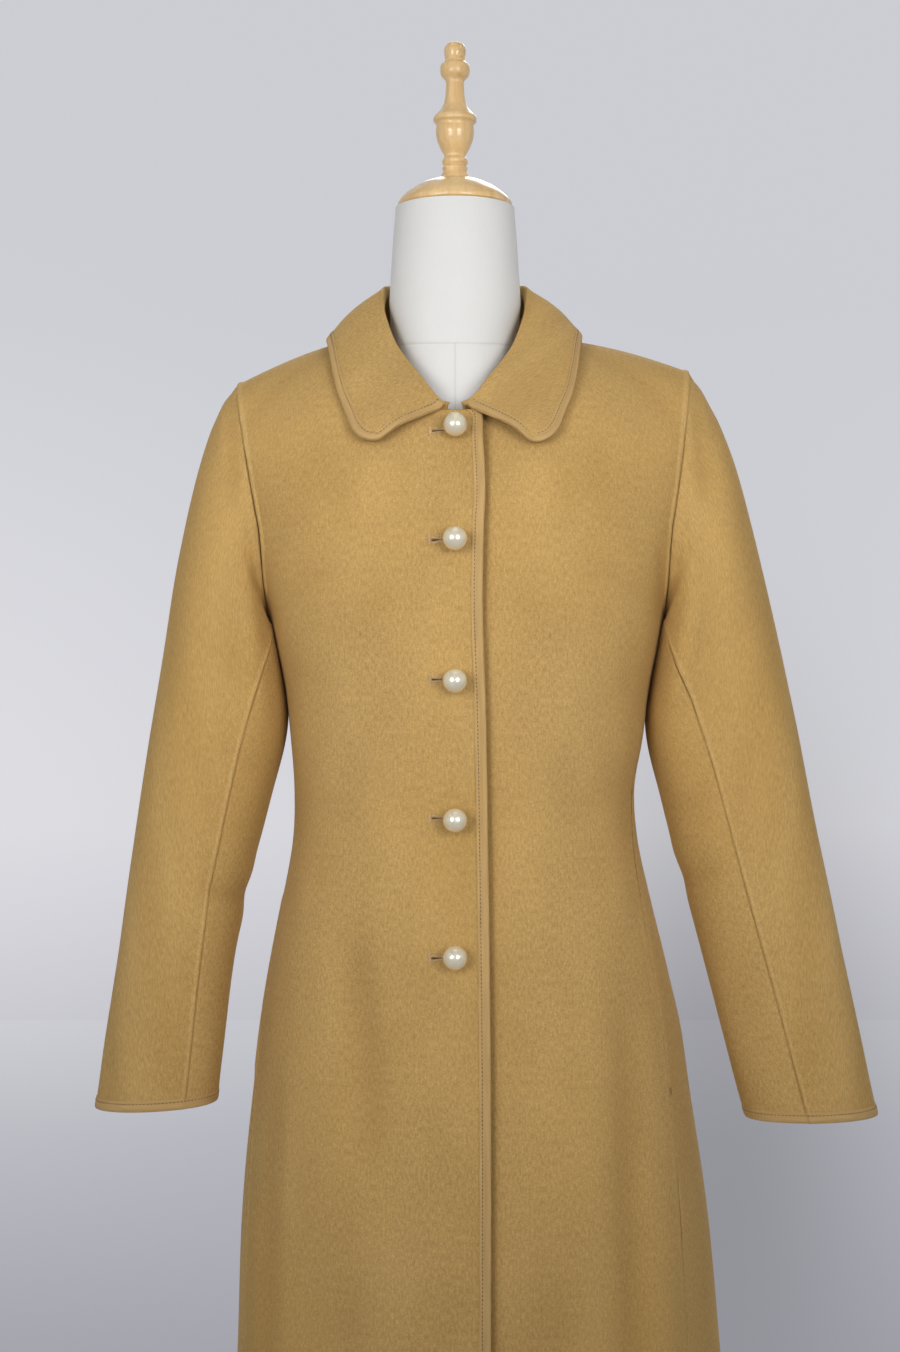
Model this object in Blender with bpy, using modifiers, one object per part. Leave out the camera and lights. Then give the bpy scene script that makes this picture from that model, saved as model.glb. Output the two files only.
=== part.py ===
"""Camel wool coat with a round-cornered collar and ball buttons, worn by a limbless dress form.

Metres, +Z up. The coat faces -Y, so the wearer's right is at -X and the wearer's left at +X.
The origin is under the middle of the stand's base.
"""

import math

import bmesh
import bpy
import numpy as np
from mathutils import Matrix, Vector
from mathutils.bvhtree import BVHTree

RIGHT, LEFT = -1, 1


def table(columns, *rows):
    """A short table as one array per named column."""
    return {name: np.array([row[i] for row in rows]) for i, name in enumerate(columns.split())}


# Cloth, seams and bound edges
CLOTH = 0.0025
SEAM_GAP = 0.0003
BINDING_WALL = 0.0008
BINDING_GAP = 0.0006
COLLAR_BINDING_GAP = 0.0013
BINDING_WIDTH = 0.0070
MITRE_SHARE = 0.92

# Body of the coat: level sections from the hem to the armpits
HEM_Z = 0.330
ARMPIT_Z = 1.130
SQUARENESS = 2.3
BODY = table(
    "height half_width front back shift",
    (0.330, 0.218, 0.168, 0.172, 0.0230),
    (0.492, 0.208, 0.158, 0.160, 0.0213),
    (0.624, 0.199, 0.150, 0.150, 0.0187),
    (0.711, 0.189, 0.144, 0.143, 0.0170),
    (0.798, 0.177, 0.137, 0.135, 0.0160),
    (0.842, 0.166, 0.131, 0.127, 0.0130),
    (0.885, 0.155, 0.124, 0.117, 0.0104),
    (0.946, 0.146, 0.116, 0.104, 0.0080),
    (0.981, 0.147, 0.118, 0.103, 0.0090),
    (1.024, 0.153, 0.122, 0.106, 0.0107),
    (1.075, 0.160, 0.127, 0.112, 0.0105),
    (1.130, 0.1700, 0.129, 0.118, 0.0100),
    (1.160, 0.1787, 0.128, 0.118, 0.0094),
    (1.210, 0.1920, 0.124, 0.116, 0.0084),
)
SKIRT_ROWS = (0.330, 0.400, 0.470, 0.540, 0.610, 0.680, 0.740, 0.795, 0.845)
WAIST_ROWS = (0.895, 0.945, 1.010, 1.050, 1.090, 1.130)
LOWER_ROWS = SKIRT_ROWS + WAIST_ROWS
STRETCH_Z = 1.010

# Skirt folds: a row for each, by angle from the centre front, outward when the depth is positive
FOLDS = table(
    "angle width depth start",
    (-66.0, 13.0, 0.0060, 0.80),
    (-38.0, 12.0, -0.0060, 0.92),
    (40.0, 13.0, 0.0050, 0.86),
    (66.0, 12.0, -0.0065, 0.84),
    (112.0, 16.0, 0.0100, 0.84),
    (142.0, 15.0, -0.0110, 0.88),
    (172.0, 14.0, 0.0110, 0.86),
    (202.0, 15.0, -0.0100, 0.90),
    (232.0, 16.0, 0.0100, 0.84),
    (258.0, 13.0, -0.0070, 0.80),
)

# Side seams, in degrees from the centre front: they swing forward below the waist
SIDE_SEAM = table(
    "height right left",
    (0.330, 66.0, 52.0),
    (0.510, 68.0, 53.0),
    (0.680, 74.0, 57.0),
    (0.800, 84.0, 61.0),
    (0.890, 88.0, 67.0),
    (1.000, 90.0, 79.0),
    (1.130, 90.0, 90.0),
)

# Neckline, shoulders and the lapped front edges
NECK_HALF = 0.076
NECK_FRONT_Y, NECK_FRONT_Z = -0.092, 1.2985
NECK_SIDE_Y, NECK_SIDE_Z = 0.012, 1.3770
NECK_BACK_Y, NECK_BACK_Z = 0.072, 1.3870
SHOULDER_HALF = 0.196
SHOULDER_SHIFT = 0.007
SHOULDER_Z = 1.3370
SHOULDER_TILT = 0.0055
SHOULDER_ROUND = 0.004
SHOULDER_SLOPE = 0.31
YOKE_SLANT = 0.45
YOKE_SOFT = (-0.20, -0.12, -0.06, 0.0, 0.06, 0.12, 0.20)
NECK_SHARE = 0.5
SHOULDER_STEPS = 5
NECK_TURNS = (90.0, 82.0, 73.0, 60.0, 47.0, 36.0, 26.0, 17.0, 5.5)
BACK_TURNS = (90.0, 75.0, 60.0, 45.0, 30.0, 15.0, 0.0)
LAP_SHARES = (0.36, 0.72, 1.0)
LAP_EDGE = table(
    "height reach",
    (0.330, 0.0268),
    (0.850, 0.0268),
    (1.060, 0.0236),
    (1.140, 0.0212),
    (1.205, 0.0222),
    (1.298, 0.0250),
)
UNDERLAP_REACH = 0.024
LAP_DROP = 0.0062
LAP_DROP_FROM, LAP_DROP_TO = 0.031, 0.080
LAP_CORNER = 0.005

# Armholes: an upright ring whose lower part lies on the body's sections.
# Its turns are counted from the shoulder over the front.
ARMHOLE_MID_Z = 1.2335
ARMHOLE_FRONT, ARMHOLE_BACK = 0.0625, 0.0600
ARMHOLE_ROUND = 0.92
RING_STEPS = 24
YOKE_TURN = 105.0

# Sleeves: outer and inner edge of each section as seen from the front, then its half depth and forward lean.
# The armhole comes before the first row.
SLEEVE_COLUMNS = "outer_x outer_z inner_x inner_z half_depth forward"
SLEEVE_ROWS = {
    RIGHT: table(
        SLEEVE_COLUMNS,
        (0.2050, 1.3000, 0.1640, 1.1220, 0.0655, 0.000),
        (0.2215, 1.2500, 0.1600, 1.1000, 0.0665, 0.001),
        (0.2350, 1.1880, 0.1545, 1.0700, 0.0650, 0.003),
        (0.2470, 1.1050, 0.1510, 1.0350, 0.0615, 0.005),
        (0.2630, 1.0180, 0.1570, 0.9850, 0.0570, 0.008),
        (0.2800, 0.9200, 0.1750, 0.9120, 0.0515, 0.012),
        (0.2930, 0.8330, 0.1900, 0.8350, 0.0470, 0.018),
        (0.3045, 0.7546, 0.1985, 0.7600, 0.0430, 0.024),
        (0.3106, 0.7130, 0.2030, 0.7180, 0.0410, 0.027),
    ),
    LEFT: table(
        SLEEVE_COLUMNS,
        (0.2200, 1.3060, 0.1850, 1.1210, 0.0655, 0.000),
        (0.2360, 1.2620, 0.1835, 1.1000, 0.0665, 0.001),
        (0.2505, 1.2050, 0.1785, 1.0700, 0.0650, 0.003),
        (0.2650, 1.1370, 0.1720, 1.0350, 0.0605, 0.005),
        (0.2850, 1.0430, 0.1760, 0.9850, 0.0555, 0.008),
        (0.3050, 0.9460, 0.1950, 0.9120, 0.0490, 0.012),
        (0.3260, 0.8590, 0.2145, 0.8350, 0.0440, 0.018),
        (0.3450, 0.7810, 0.2345, 0.7570, 0.0405, 0.024),
        (0.3637, 0.7070, 0.2490, 0.7040, 0.0380, 0.027),
    ),
}
SLEEVE_STEPS = 14

# Sleeve seams: how far round from the top of the sleeve they lie, along the sleeve
ARMHOLE_FRONT_SEAM, ARMHOLE_BACK_SEAM = 150.0, 225.0
SLEEVE_SEAMS = table(
    "row right_front left_front back",
    (0.0, 150.0, 150.0, 225.0),
    (2.0, 130.0, 126.0, 232.0),
    (4.0, 120.0, 109.0, 240.0),
    (6.0, 125.0, 97.0, 246.0),
    (9.0, 122.0, 93.0, 250.0),
)

# Collar: fold line and outer edge, by share of the way along the neckline from its front end to the back
COLLAR_ROLL = 0.0042
COLLAR_SEAM = 0.0012
COLLAR_FOLD = table(
    "share x y z",
    (0.00, 0.0100, -0.0965, 1.3048),
    (0.10, 0.0190, -0.0880, 1.3170),
    (0.20, 0.0310, -0.0730, 1.3345),
    (0.32, 0.0465, -0.0500, 1.3560),
    (0.42, 0.0560, -0.0300, 1.3800),
    (0.52, 0.0620, -0.0100, 1.4010),
    (0.62, 0.0625, 0.0130, 1.4190),
    (0.74, 0.0570, 0.0410, 1.4270),
    (0.87, 0.0350, 0.0640, 1.4310),
    (1.00, 0.0000, 0.0735, 1.4320),
)
COLLAR_EDGE = table(
    "share x y z clear",
    (0.00, 0.0620, -0.1130, 1.2755, 0.0034),
    (0.04, 0.0690, -0.1115, 1.2732, 0.0034),
    (0.09, 0.0760, -0.1080, 1.2745, 0.0034),
    (0.15, 0.0820, -0.1030, 1.2800, 0.0034),
    (0.24, 0.0880, -0.0930, 1.2930, 0.0034),
    (0.36, 0.0960, -0.0700, 1.3130, 0.0042),
    (0.50, 0.1035, -0.0350, 1.3430, 0.0056),
    (0.64, 0.1070, 0.0080, 1.3645, 0.0056),
    (0.76, 0.0980, 0.0550, 1.3680, 0.0050),
    (0.88, 0.0620, 0.0860, 1.3610, 0.0046),
    (1.00, 0.0000, 0.0960, 1.3560, 0.0040),
)
FALL_STEPS = 4
FALL_BULGE = 0.0040

# Pearl buttons and their buttonholes
BUTTON_HEIGHTS = (1.2815, 1.1900, 1.0770, 0.9640, 0.8520)
BALL_RADIUS = 0.0100
BALL_STEPS = 7
BALL_LIFT = 0.0010
SHANK_RADIUS = 0.0008
SHANK_DEPTH = 0.0034
BUTTONHOLE_LENGTH = 0.0240
BUTTONHOLE_WIDTH = 0.0024
BUTTONHOLE_CENTRE = -0.0085

# Dress form: level sections of the torso and of the neck, about an axis behind the coat's middle.
# Between them the shoulders and the neck's root are drawn just inside the coat's neckline.
FORM_Y = 0.009
FORM_CLEAR = 0.0030
FORM_STEPS = 32
FORM = table(
    "height half_width front back square",
    (0.700, 0.142, 0.112, 0.090, 2.2),
    (0.712, 0.149, 0.117, 0.096, 2.2),
    (0.790, 0.150, 0.120, 0.098, 2.2),
    (0.870, 0.136, 0.111, 0.085, 2.2),
    (0.946, 0.122, 0.101, 0.073, 2.2),
    (1.020, 0.130, 0.109, 0.078, 2.2),
    (1.090, 0.142, 0.120, 0.088, 2.3),
    (1.150, 0.152, 0.122, 0.094, 2.4),
    (1.210, 0.160, 0.116, 0.096, 2.5),
)
FORM_NECK = table(
    "height half_width front back square",
    (1.4050, 0.0574, 0.0515, 0.0525, 2.0),
    (1.4200, 0.0566, 0.0510, 0.0520, 2.0),
    (1.4550, 0.0545, 0.0510, 0.0520, 2.0),
    (1.4885, 0.0518, 0.0500, 0.0515, 2.0),
)
FORM_ROOT_IN, FORM_ROOT_DOWN = 0.0120, 0.0060
FORM_FRONT_LEAN, FORM_BACK_LEAN = (0.0, 0.70, 0.71), (0.0, -0.30, 0.95)
FORM_SHOULDER_SLOPE = 0.32
FORM_SHOULDER_SPREAD = 2.3
FORM_SHOULDER_PAD = 0.010
FORM_YOKE_STEPS, FORM_ROOT_STEPS = 9, 6

# Turned wood: radius and height from the top down
WOOD_STEPS = 20
FINIAL_PROFILE = (
    (0.0000, 1.6330),
    (0.0068, 1.6325),
    (0.0092, 1.6290),
    (0.0096, 1.6165),
    (0.0122, 1.6142),
    (0.0131, 1.6097),
    (0.0120, 1.6045),
    (0.0086, 1.6008),
    (0.0082, 1.5920),
    (0.0091, 1.5836),
    (0.0110, 1.5775),
    (0.0162, 1.5710),
    (0.0187, 1.5682),
    (0.0185, 1.5640),
    (0.0172, 1.5628),
    (0.0169, 1.5545),
    (0.0155, 1.5475),
    (0.0122, 1.5395),
    (0.0094, 1.5330),
    (0.0110, 1.5312),
    (0.0112, 1.5280),
    (0.0097, 1.5255),
    (0.0112, 1.5238),
    (0.0105, 1.5212),
    (0.0128, 1.5165),
    (0.0136, 1.5143),
    (0.0000, 1.5143),
)
CAP_PROFILE = (
    (0.0000, 1.5140),
    (0.0150, 1.5138),
    (0.0280, 1.5100),
    (0.0400, 1.5030),
    (0.0474, 1.4965),
    (0.0498, 1.4925),
    (0.0494, 1.4898),
    (0.0478, 1.4888),
    (0.0000, 1.4888),
)
POST_RADIUS = 0.0175
BASE_RADIUS = 0.190
BASE_HEIGHT = 0.028
POST_PROFILE = (
    (0.0000, 0.6997),
    (POST_RADIUS - 0.001, 0.6997),
    (POST_RADIUS, 0.6987),
    (POST_RADIUS, BASE_HEIGHT + 0.0003),
    (0.0000, BASE_HEIGHT + 0.0003),
)
BASE_PROFILE = (
    (0.0000, BASE_HEIGHT),
    (0.060, BASE_HEIGHT),
    (BASE_RADIUS - 0.014, 0.0220),
    (BASE_RADIUS - 0.004, 0.0190),
    (BASE_RADIUS, 0.0130),
    (BASE_RADIUS, 0.0030),
    (BASE_RADIUS - 0.003, 0.0000),
    (0.0000, 0.0000),
)

# Finishes: colour, roughness and metallic value
FINISHES = {
    "wool": ((0.56, 0.36, 0.14, 1.0), 0.90, 0.0),
    "binding": ((0.42, 0.26, 0.11, 1.0), 0.75, 0.0),
    "pearl": ((0.86, 0.82, 0.76, 1.0), 0.15, 0.0),
    "form_cloth": ((0.80, 0.78, 0.74, 1.0), 0.60, 0.0),
    "wood": ((0.62, 0.36, 0.12, 1.0), 0.25, 0.0),
}
SMOOTH_ANGLE = math.radians(40.0)


# Curves and vectors


def curve(knots, values):
    """A smooth line through the values, held at its two ends."""
    slopes = np.gradient(values, knots)

    def at(x):
        x = np.clip(x, knots[0], knots[-1])
        i = np.clip(np.searchsorted(knots, x) - 1, 0, len(knots) - 2)
        step = knots[i + 1] - knots[i]
        t = (x - knots[i]) / step
        start = values[i] * (1 + 2 * t) + slopes[i] * step * t
        end = values[i + 1] * (3 - 2 * t) + slopes[i + 1] * step * (t - 1)
        return start * (1 - t) ** 2 + end * t ** 2

    return at


def curves(rows, key):
    """One smooth line per column of a table, by its key column."""
    return {name: curve(rows[key], rows[name]) for name in rows if name != key}


def smooth(t):
    t = np.clip(t, 0.0, 1.0)
    return t * t * (3 - 2 * t)


def signed_power(value, power):
    return np.sign(value) * np.abs(value) ** power


def unit(vectors):
    return vectors / np.linalg.norm(vectors, axis=-1, keepdims=True)


def mix(a, b, t):
    return a + (b - a) * t


def hermite(start, end, leave, arrive, t):
    ahead = (1 + 2 * t) * (1 - t) ** 2
    return ahead * start + (1 - ahead) * end + t * (1 - t) ** 2 * leave - t ** 2 * (1 - t) * arrive


body_size = curves(BODY, "height")
seam_angle = curves(SIDE_SEAM, "height")
lap_reach = curve(LAP_EDGE["height"], LAP_EDGE["reach"])


# Body sections


def fold_push(angle, height):
    """How far the skirt's folds push a point out of the plain section."""
    push = np.zeros(np.broadcast(angle, height).shape)
    for middle, width, depth, start in zip(*(FOLDS[name] for name in ("angle", "width", "depth", "start"))):
        away = (np.degrees(angle) - middle + 180.0) % 360.0 - 180.0
        fall = np.clip((start - height) / (start - HEM_Z), 0.0, 1.0) ** 1.4
        push = push + depth * fall * np.exp(-((away / width) ** 2))
    return push


def body_point(angle, height):
    """A point of the body's outer face, by angle from the centre front towards the wearer's left."""
    angle, height = np.broadcast_arrays(np.asarray(angle, float), np.asarray(height, float))
    power = 2.0 / SQUARENESS
    depth = np.where(np.cos(angle) > 0, body_size["front"](height), body_size["back"](height))
    x = body_size["half_width"](height) * signed_power(np.sin(angle), power)
    y = -depth * signed_power(np.cos(angle), power)
    grow = 1 + fold_push(angle, height) / np.hypot(x, y)
    return np.stack([body_size["shift"](height) + x * grow, y * grow, height], axis=-1)


def angle_at(x, height):
    """The angle where the front crosses a given x."""
    share = (x - body_size["shift"](height)) / body_size["half_width"](height)
    return np.arcsin(signed_power(share, SQUARENESS / 2.0))


def side_angle(side, height):
    return side * np.radians(seam_angle["left" if side == LEFT else "right"](height))


def front_angle(u, height):
    """Angle of a front column: u is 0 at the centre front, -1 and 1 at the side seams."""
    middle = angle_at(0.0, height)
    end = np.where(u < 0, side_angle(RIGHT, height), side_angle(LEFT, height))
    return middle + np.abs(u) * (end - middle)


def back_angle(u, height):
    """Angle of a back column: u is 0 at the centre back, -1 and 1 at the side seams."""
    right = 2 * math.pi + side_angle(RIGHT, height)
    left = side_angle(LEFT, height)
    return math.pi + np.abs(u) * (np.where(u < 0, right, left) - math.pi)


# Armholes


def shoulder_tip(side):
    return np.array([side * SHOULDER_HALF + SHOULDER_SHIFT, 0.0, SHOULDER_Z + side * SHOULDER_TILT])


def armhole_height(side, turn):
    reach = np.where(np.cos(turn) > 0, shoulder_tip(side)[2] - ARMHOLE_MID_Z, ARMHOLE_MID_Z - ARMPIT_Z)
    return ARMHOLE_MID_Z + reach * np.cos(turn)


def armhole_depth(turn):
    """How far the armhole stands before (+) or behind (-) the shoulder line."""
    depth = np.where(np.sin(turn) > 0, ARMHOLE_FRONT, ARMHOLE_BACK)
    return depth * signed_power(np.sin(turn), ARMHOLE_ROUND)


def section_angle(side, turn):
    """Angle on the body's section that the armhole passes at some turn."""
    height = armhole_height(side, turn)
    ahead = armhole_depth(turn)
    depth = np.where(ahead > 0, body_size["front"](height), body_size["back"](height))
    from_front = np.arccos(np.clip(signed_power(ahead / depth, SQUARENESS / 2.0), -1.0, 1.0))
    return side * from_front


YOKE_Z = float(armhole_height(LEFT, np.radians(YOKE_TURN)))


def armhole_point(side, turn):
    """The armhole seam: on the body's sections below, then straight up to the shoulder."""
    turn = np.asarray(turn, float)
    height = armhole_height(side, turn)
    low = body_point(section_angle(side, turn), np.minimum(height, YOKE_Z))
    leaving = np.where(np.sin(turn) > 0, 1.0, -1.0) * np.radians(YOKE_TURN)
    corner = body_point(section_angle(side, leaving), YOKE_Z)
    tip = shoulder_tip(side)
    x = mix(corner[..., 0], tip[0], (height - YOKE_Z) / (tip[2] - YOKE_Z))
    x = np.where(height > YOKE_Z + 1e-9, x, low[..., 0])
    return np.stack([x, -armhole_depth(turn), height], axis=-1)


# Sleeves


def sleeve_sections(side):
    """The sleeve's table with the armhole as its first row."""
    tip = shoulder_tip(side)
    armpit = armhole_point(side, math.pi)
    armhole = {
        "outer_x": side * tip[0],
        "outer_z": tip[2],
        "inner_x": side * armpit[0],
        "inner_z": armpit[2],
        "half_depth": ARMHOLE_FRONT,
        "forward": 0.0,
    }
    rows = {name: np.concatenate([[armhole[name]], column]) for name, column in SLEEVE_ROWS[side].items()}
    rows["row"] = np.arange(len(rows["outer_x"]), dtype=float)
    return rows


sleeve_size = {side: curves(sleeve_sections(side), "row") for side in (RIGHT, LEFT)}
sleeve_seams = curves(SLEEVE_SEAMS, "row")
LAST_SECTION = float(len(SLEEVE_ROWS[RIGHT]["outer_x"]))


def sleeve_ring(side, turn, row):
    size = {name: line(row) for name, line in sleeve_size[side].items()}
    share = (1 + np.cos(turn)) / 2
    x = mix(size["inner_x"], size["outer_x"], share)
    z = mix(size["inner_z"], size["outer_z"], share)
    y = -size["forward"] - size["half_depth"] * signed_power(np.sin(turn), ARMHOLE_ROUND)
    return np.stack(np.broadcast_arrays(side * x, y, z), axis=-1)


def sleeve_point(side, turn, row):
    """A point of the sleeve's outer face: the armhole first, then plain rings."""
    start = armhole_point(side, turn) - sleeve_ring(side, turn, 0.0)
    return sleeve_ring(side, turn, row) + start * (1 - smooth(row / 2.5))[..., None]


def sleeve_turn(side, degrees, row):
    """Where a column that starts at the armhole at some turn lies further down, as the seams swing."""
    front = sleeve_seams["left_front" if side == LEFT else "right_front"](row)
    back = sleeve_seams["back"](row)
    start = ARMHOLE_BACK_SEAM - 360.0
    top = np.where(degrees > ARMHOLE_BACK_SEAM, degrees - 360.0, degrees)
    over = (top - start) / (ARMHOLE_FRONT_SEAM - start)
    under = (degrees - ARMHOLE_FRONT_SEAM) / (ARMHOLE_BACK_SEAM - ARMHOLE_FRONT_SEAM)
    beneath = (degrees > ARMHOLE_FRONT_SEAM) & (degrees <= ARMHOLE_BACK_SEAM)
    return np.radians(np.where(beneath, mix(front, back, under), mix(back - 360.0, front, over)))


def sleeve_grid(side):
    """Whole sleeve: a row for each section, a column for each turn at the armhole."""
    degrees = np.arange(RING_STEPS) * 360.0 / RING_STEPS
    rows = np.linspace(0.0, LAST_SECTION, SLEEVE_STEPS + 1)[:, None]
    return sleeve_point(side, sleeve_turn(side, degrees[None, :], rows), rows)


# Yoke between the armholes, the neckline and the shoulder seams


def front_neck(turn):
    """Front neckline: turn is 0 at the centre and a quarter turn at the shoulder seam."""
    x = NECK_HALF * np.sin(turn)
    y = mix(NECK_SIDE_Y, NECK_FRONT_Y, np.cos(turn))
    z = mix(NECK_SIDE_Z, NECK_FRONT_Z, np.cos(turn))
    return np.stack([x, y, z], axis=-1)


def back_neck(turn):
    x = NECK_HALF * np.sin(turn)
    y = mix(NECK_SIDE_Y, NECK_BACK_Y, np.cos(turn))
    z = mix(NECK_SIDE_Z, NECK_BACK_Z, np.cos(turn))
    return np.stack([x, y, z], axis=-1)


def shoulder_line(side, share):
    """The shoulder seam from the neck to the sleeve."""
    neck = front_neck(side * math.pi / 2)
    line = mix(neck, shoulder_tip(side), share[..., None])
    line[..., 2] += SHOULDER_ROUND * np.sin(math.pi * share)
    return line


def yoke_top(v, neckline, lean):
    """Upper boundary of the yoke and the direction in which the cloth arrives there."""
    size = np.abs(v)
    turn = np.sign(v) * np.minimum(size / NECK_SHARE, 1.0) * math.pi / 2
    share = np.clip((size - NECK_SHARE) / (1 - NECK_SHARE), 0.0, 1.0)
    on_shoulder = np.where((v < 0)[..., None], shoulder_line(RIGHT, share), shoulder_line(LEFT, share))
    top = np.where((size <= NECK_SHARE)[..., None], neckline(turn), on_shoulder)
    level = np.array([0.0, math.copysign(1.0, lean[1]), 0.0])
    arrive = mix(np.array(lean), level, (np.abs(np.sin(turn)) ** 1.5)[..., None])
    slant = (np.sin(turn) ** 2 * (1 - share))[..., None]
    inward = np.stack([-np.sign(v) * YOKE_SLANT, 0 * v, 0 * v + YOKE_SLANT * SHOULDER_SLOPE], axis=-1)
    return top, unit(arrive + slant * inward)


def plain_yoke(v, rise, panel):
    """Columns that curve from the chest to the neckline or the shoulder.

    v is 0 at the middle, -1 and 1 at the armholes.
    """
    to_angle, corner, neckline, lean = panel
    u = v * np.where(v < 0, corner[RIGHT], corner[LEFT])
    start = body_point(to_angle(u, YOKE_Z), YOKE_Z)
    below = YOKE_Z - 0.002
    leave = unit(start - body_point(to_angle(u, below), below))
    end, arrive = yoke_top(v, neckline, lean)
    soft = sum(yoke_top(np.clip(v + step, -1, 1), neckline, lean)[0] for step in YOKE_SOFT) / len(YOKE_SOFT)
    end = mix(soft, end, smooth((rise - 0.45) / 0.55)[..., None])
    length = np.linalg.norm(end - start, axis=-1, keepdims=True)
    return hermite(start, end, leave * length, arrive * length, rise[..., None])


def yoke_point(v, turn, panel):
    """A point above the armpits, at the height that the armhole has at some turn."""
    v, turn = np.broadcast_arrays(np.asarray(v, float), np.asarray(turn, float))
    top = np.where(v < 0, shoulder_tip(RIGHT)[2], shoulder_tip(LEFT)[2])
    height = np.where(v < 0, armhole_height(RIGHT, turn), armhole_height(LEFT, turn))
    rise = (height - YOKE_Z) / (top - YOKE_Z)
    armhole = np.where((v < 0)[..., None], armhole_point(RIGHT, turn), armhole_point(LEFT, turn))
    edge = plain_yoke(np.where(v < 0, -1.0, 1.0), rise, panel)
    near = smooth((np.abs(v) - 0.35) / 0.65)[..., None]
    return plain_yoke(v, rise, panel) + near * (armhole - edge)


def front_share(side, turn):
    """The u of the front column that meets the armhole at some turn."""
    height = armhole_height(side, turn)
    middle = angle_at(0.0, height)
    return (section_angle(side, turn) - middle) / (side_angle(side, height) - middle)


def back_share(side, turn):
    height = armhole_height(side, turn)
    away = side * math.pi - section_angle(side, turn)
    return away / (side * math.pi - side_angle(side, height))


UNDERARM_TURNS = np.radians(np.arange(180.0, YOKE_TURN - 1.0, -360.0 / RING_STEPS))
YOKE_TURNS = np.radians(np.arange(YOKE_TURN, -1.0, -360.0 / RING_STEPS))
UNDERARM = len(UNDERARM_TURNS) - 1

front_corner = {side: float(front_share(side, UNDERARM_TURNS[-1])) for side in (RIGHT, LEFT)}
back_corner = {side: float(back_share(side, -UNDERARM_TURNS[-1])) for side in (RIGHT, LEFT)}
FRONT_PANEL = (front_angle, front_corner, front_neck, (0.0, 0.50, 0.86))
BACK_PANEL = (back_angle, back_corner, back_neck, (0.0, -0.35, 0.94))


# Fronts and back: a lower grid from the hem to the armhole, and a yoke grid over it


def edge_share(side, height, rise):
    """The v of a front's free edge, which lies beyond the centre front."""
    reach = lap_reach(height) if side == RIGHT else UNDERLAP_REACH
    reach = reach - LAP_CORNER * np.clip((rise - 0.9) / 0.1, 0.0, 1.0) ** 2
    middle = angle_at(0.0, height)
    across = side_angle(-side, height) - middle
    low = (angle_at(-side * reach, height) - middle) / across / front_corner[-side]
    high = NECK_SHARE * np.arcsin(reach / NECK_HALF) / (math.pi / 2)
    return mix(low, high, rise)


def front_columns(side, edge):
    """The v of the yoke's columns, from the armhole to the free edge."""
    shoulder = np.linspace(1.0, NECK_SHARE, SHOULDER_STEPS + 1)
    neck = NECK_SHARE * np.array(NECK_TURNS[1:]) / 90.0
    lap = mix(neck[-1], -edge, np.array(LAP_SHARES))
    return side * np.concatenate([shoulder, neck, lap])


def stretched(height, top):
    """Rows above the waist spread out to reach each column's own top."""
    spread = mix(STRETCH_Z, top, (height - STRETCH_Z) / (ARMPIT_Z - STRETCH_Z))
    return np.where(height > STRETCH_Z, spread, height)


def front_grids(side):
    """Outer face of a front: lower grid and yoke grid, side seam column first."""
    under = side * front_share(side, UNDERARM_TURNS)[:-1]
    under_tops = armhole_height(side, UNDERARM_TURNS)[:-1]
    lower = []
    for height in LOWER_ROWS:
        level = float(stretched(height, YOKE_Z))
        v = front_columns(side, edge_share(side, level, 0.0))
        u = np.concatenate([under, v * np.where(v < 0, front_corner[RIGHT], front_corner[LEFT])])
        heights = stretched(height, np.concatenate([under_tops, np.full(len(v), YOKE_Z)]))
        lower.append(body_point(front_angle(u, heights), heights))
    upper = []
    for turn in YOKE_TURNS:
        rise = (armhole_height(LEFT, turn) - YOKE_Z) / (shoulder_tip(LEFT)[2] - YOKE_Z)
        upper.append(yoke_point(front_columns(side, edge_share(side, YOKE_Z, rise)), turn, FRONT_PANEL))
    grids = [np.array(lower), np.array(upper)]
    if side == LEFT:
        for grid in grids:
            under_lap = 1 - smooth((grid[..., 0] - LAP_DROP_FROM) / (LAP_DROP_TO - LAP_DROP_FROM))
            grid[..., 1] += LAP_DROP * under_lap
    return grids


def back_grids():
    """Outer face of the back: lower grid and yoke grid, the wearer's left side seam first."""
    shoulder = np.linspace(1.0, NECK_SHARE, SHOULDER_STEPS + 1)
    half = np.concatenate([shoulder, NECK_SHARE * np.array(BACK_TURNS[1:]) / 90.0])
    v = np.concatenate([half, -half[-2::-1]])
    left = back_share(LEFT, -UNDERARM_TURNS)[:-1]
    right = -back_share(RIGHT, -UNDERARM_TURNS)[:-1]
    u = np.concatenate([left, v * np.where(v < 0, back_corner[RIGHT], back_corner[LEFT]), right[::-1]])
    tops = np.full(len(u), YOKE_Z)
    tops[:UNDERARM] = armhole_height(LEFT, UNDERARM_TURNS)[:-1]
    tops[-UNDERARM:] = tops[UNDERARM - 1::-1]
    lower = []
    for height in LOWER_ROWS:
        heights = stretched(height, tops)
        lower.append(body_point(back_angle(u, heights), heights))
    upper = [yoke_point(v, -turn, BACK_PANEL) for turn in YOKE_TURNS]
    return [np.array(lower), np.array(upper)]


def quads(numbers, ring=False):
    """Faces of a grid of point numbers, its last column joined to the first on a ring."""
    if ring:
        numbers = np.concatenate([numbers, numbers[:, :1]], axis=1)
    corners = (numbers[:-1, :-1], numbers[:-1, 1:], numbers[1:, 1:], numbers[1:, :-1])
    return np.stack([corner.ravel() for corner in corners], axis=1).tolist()


def grid_faces(grid, ring=False):
    return quads(np.arange(grid.shape[0] * grid.shape[1]).reshape(grid.shape[:2]), ring)


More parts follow.
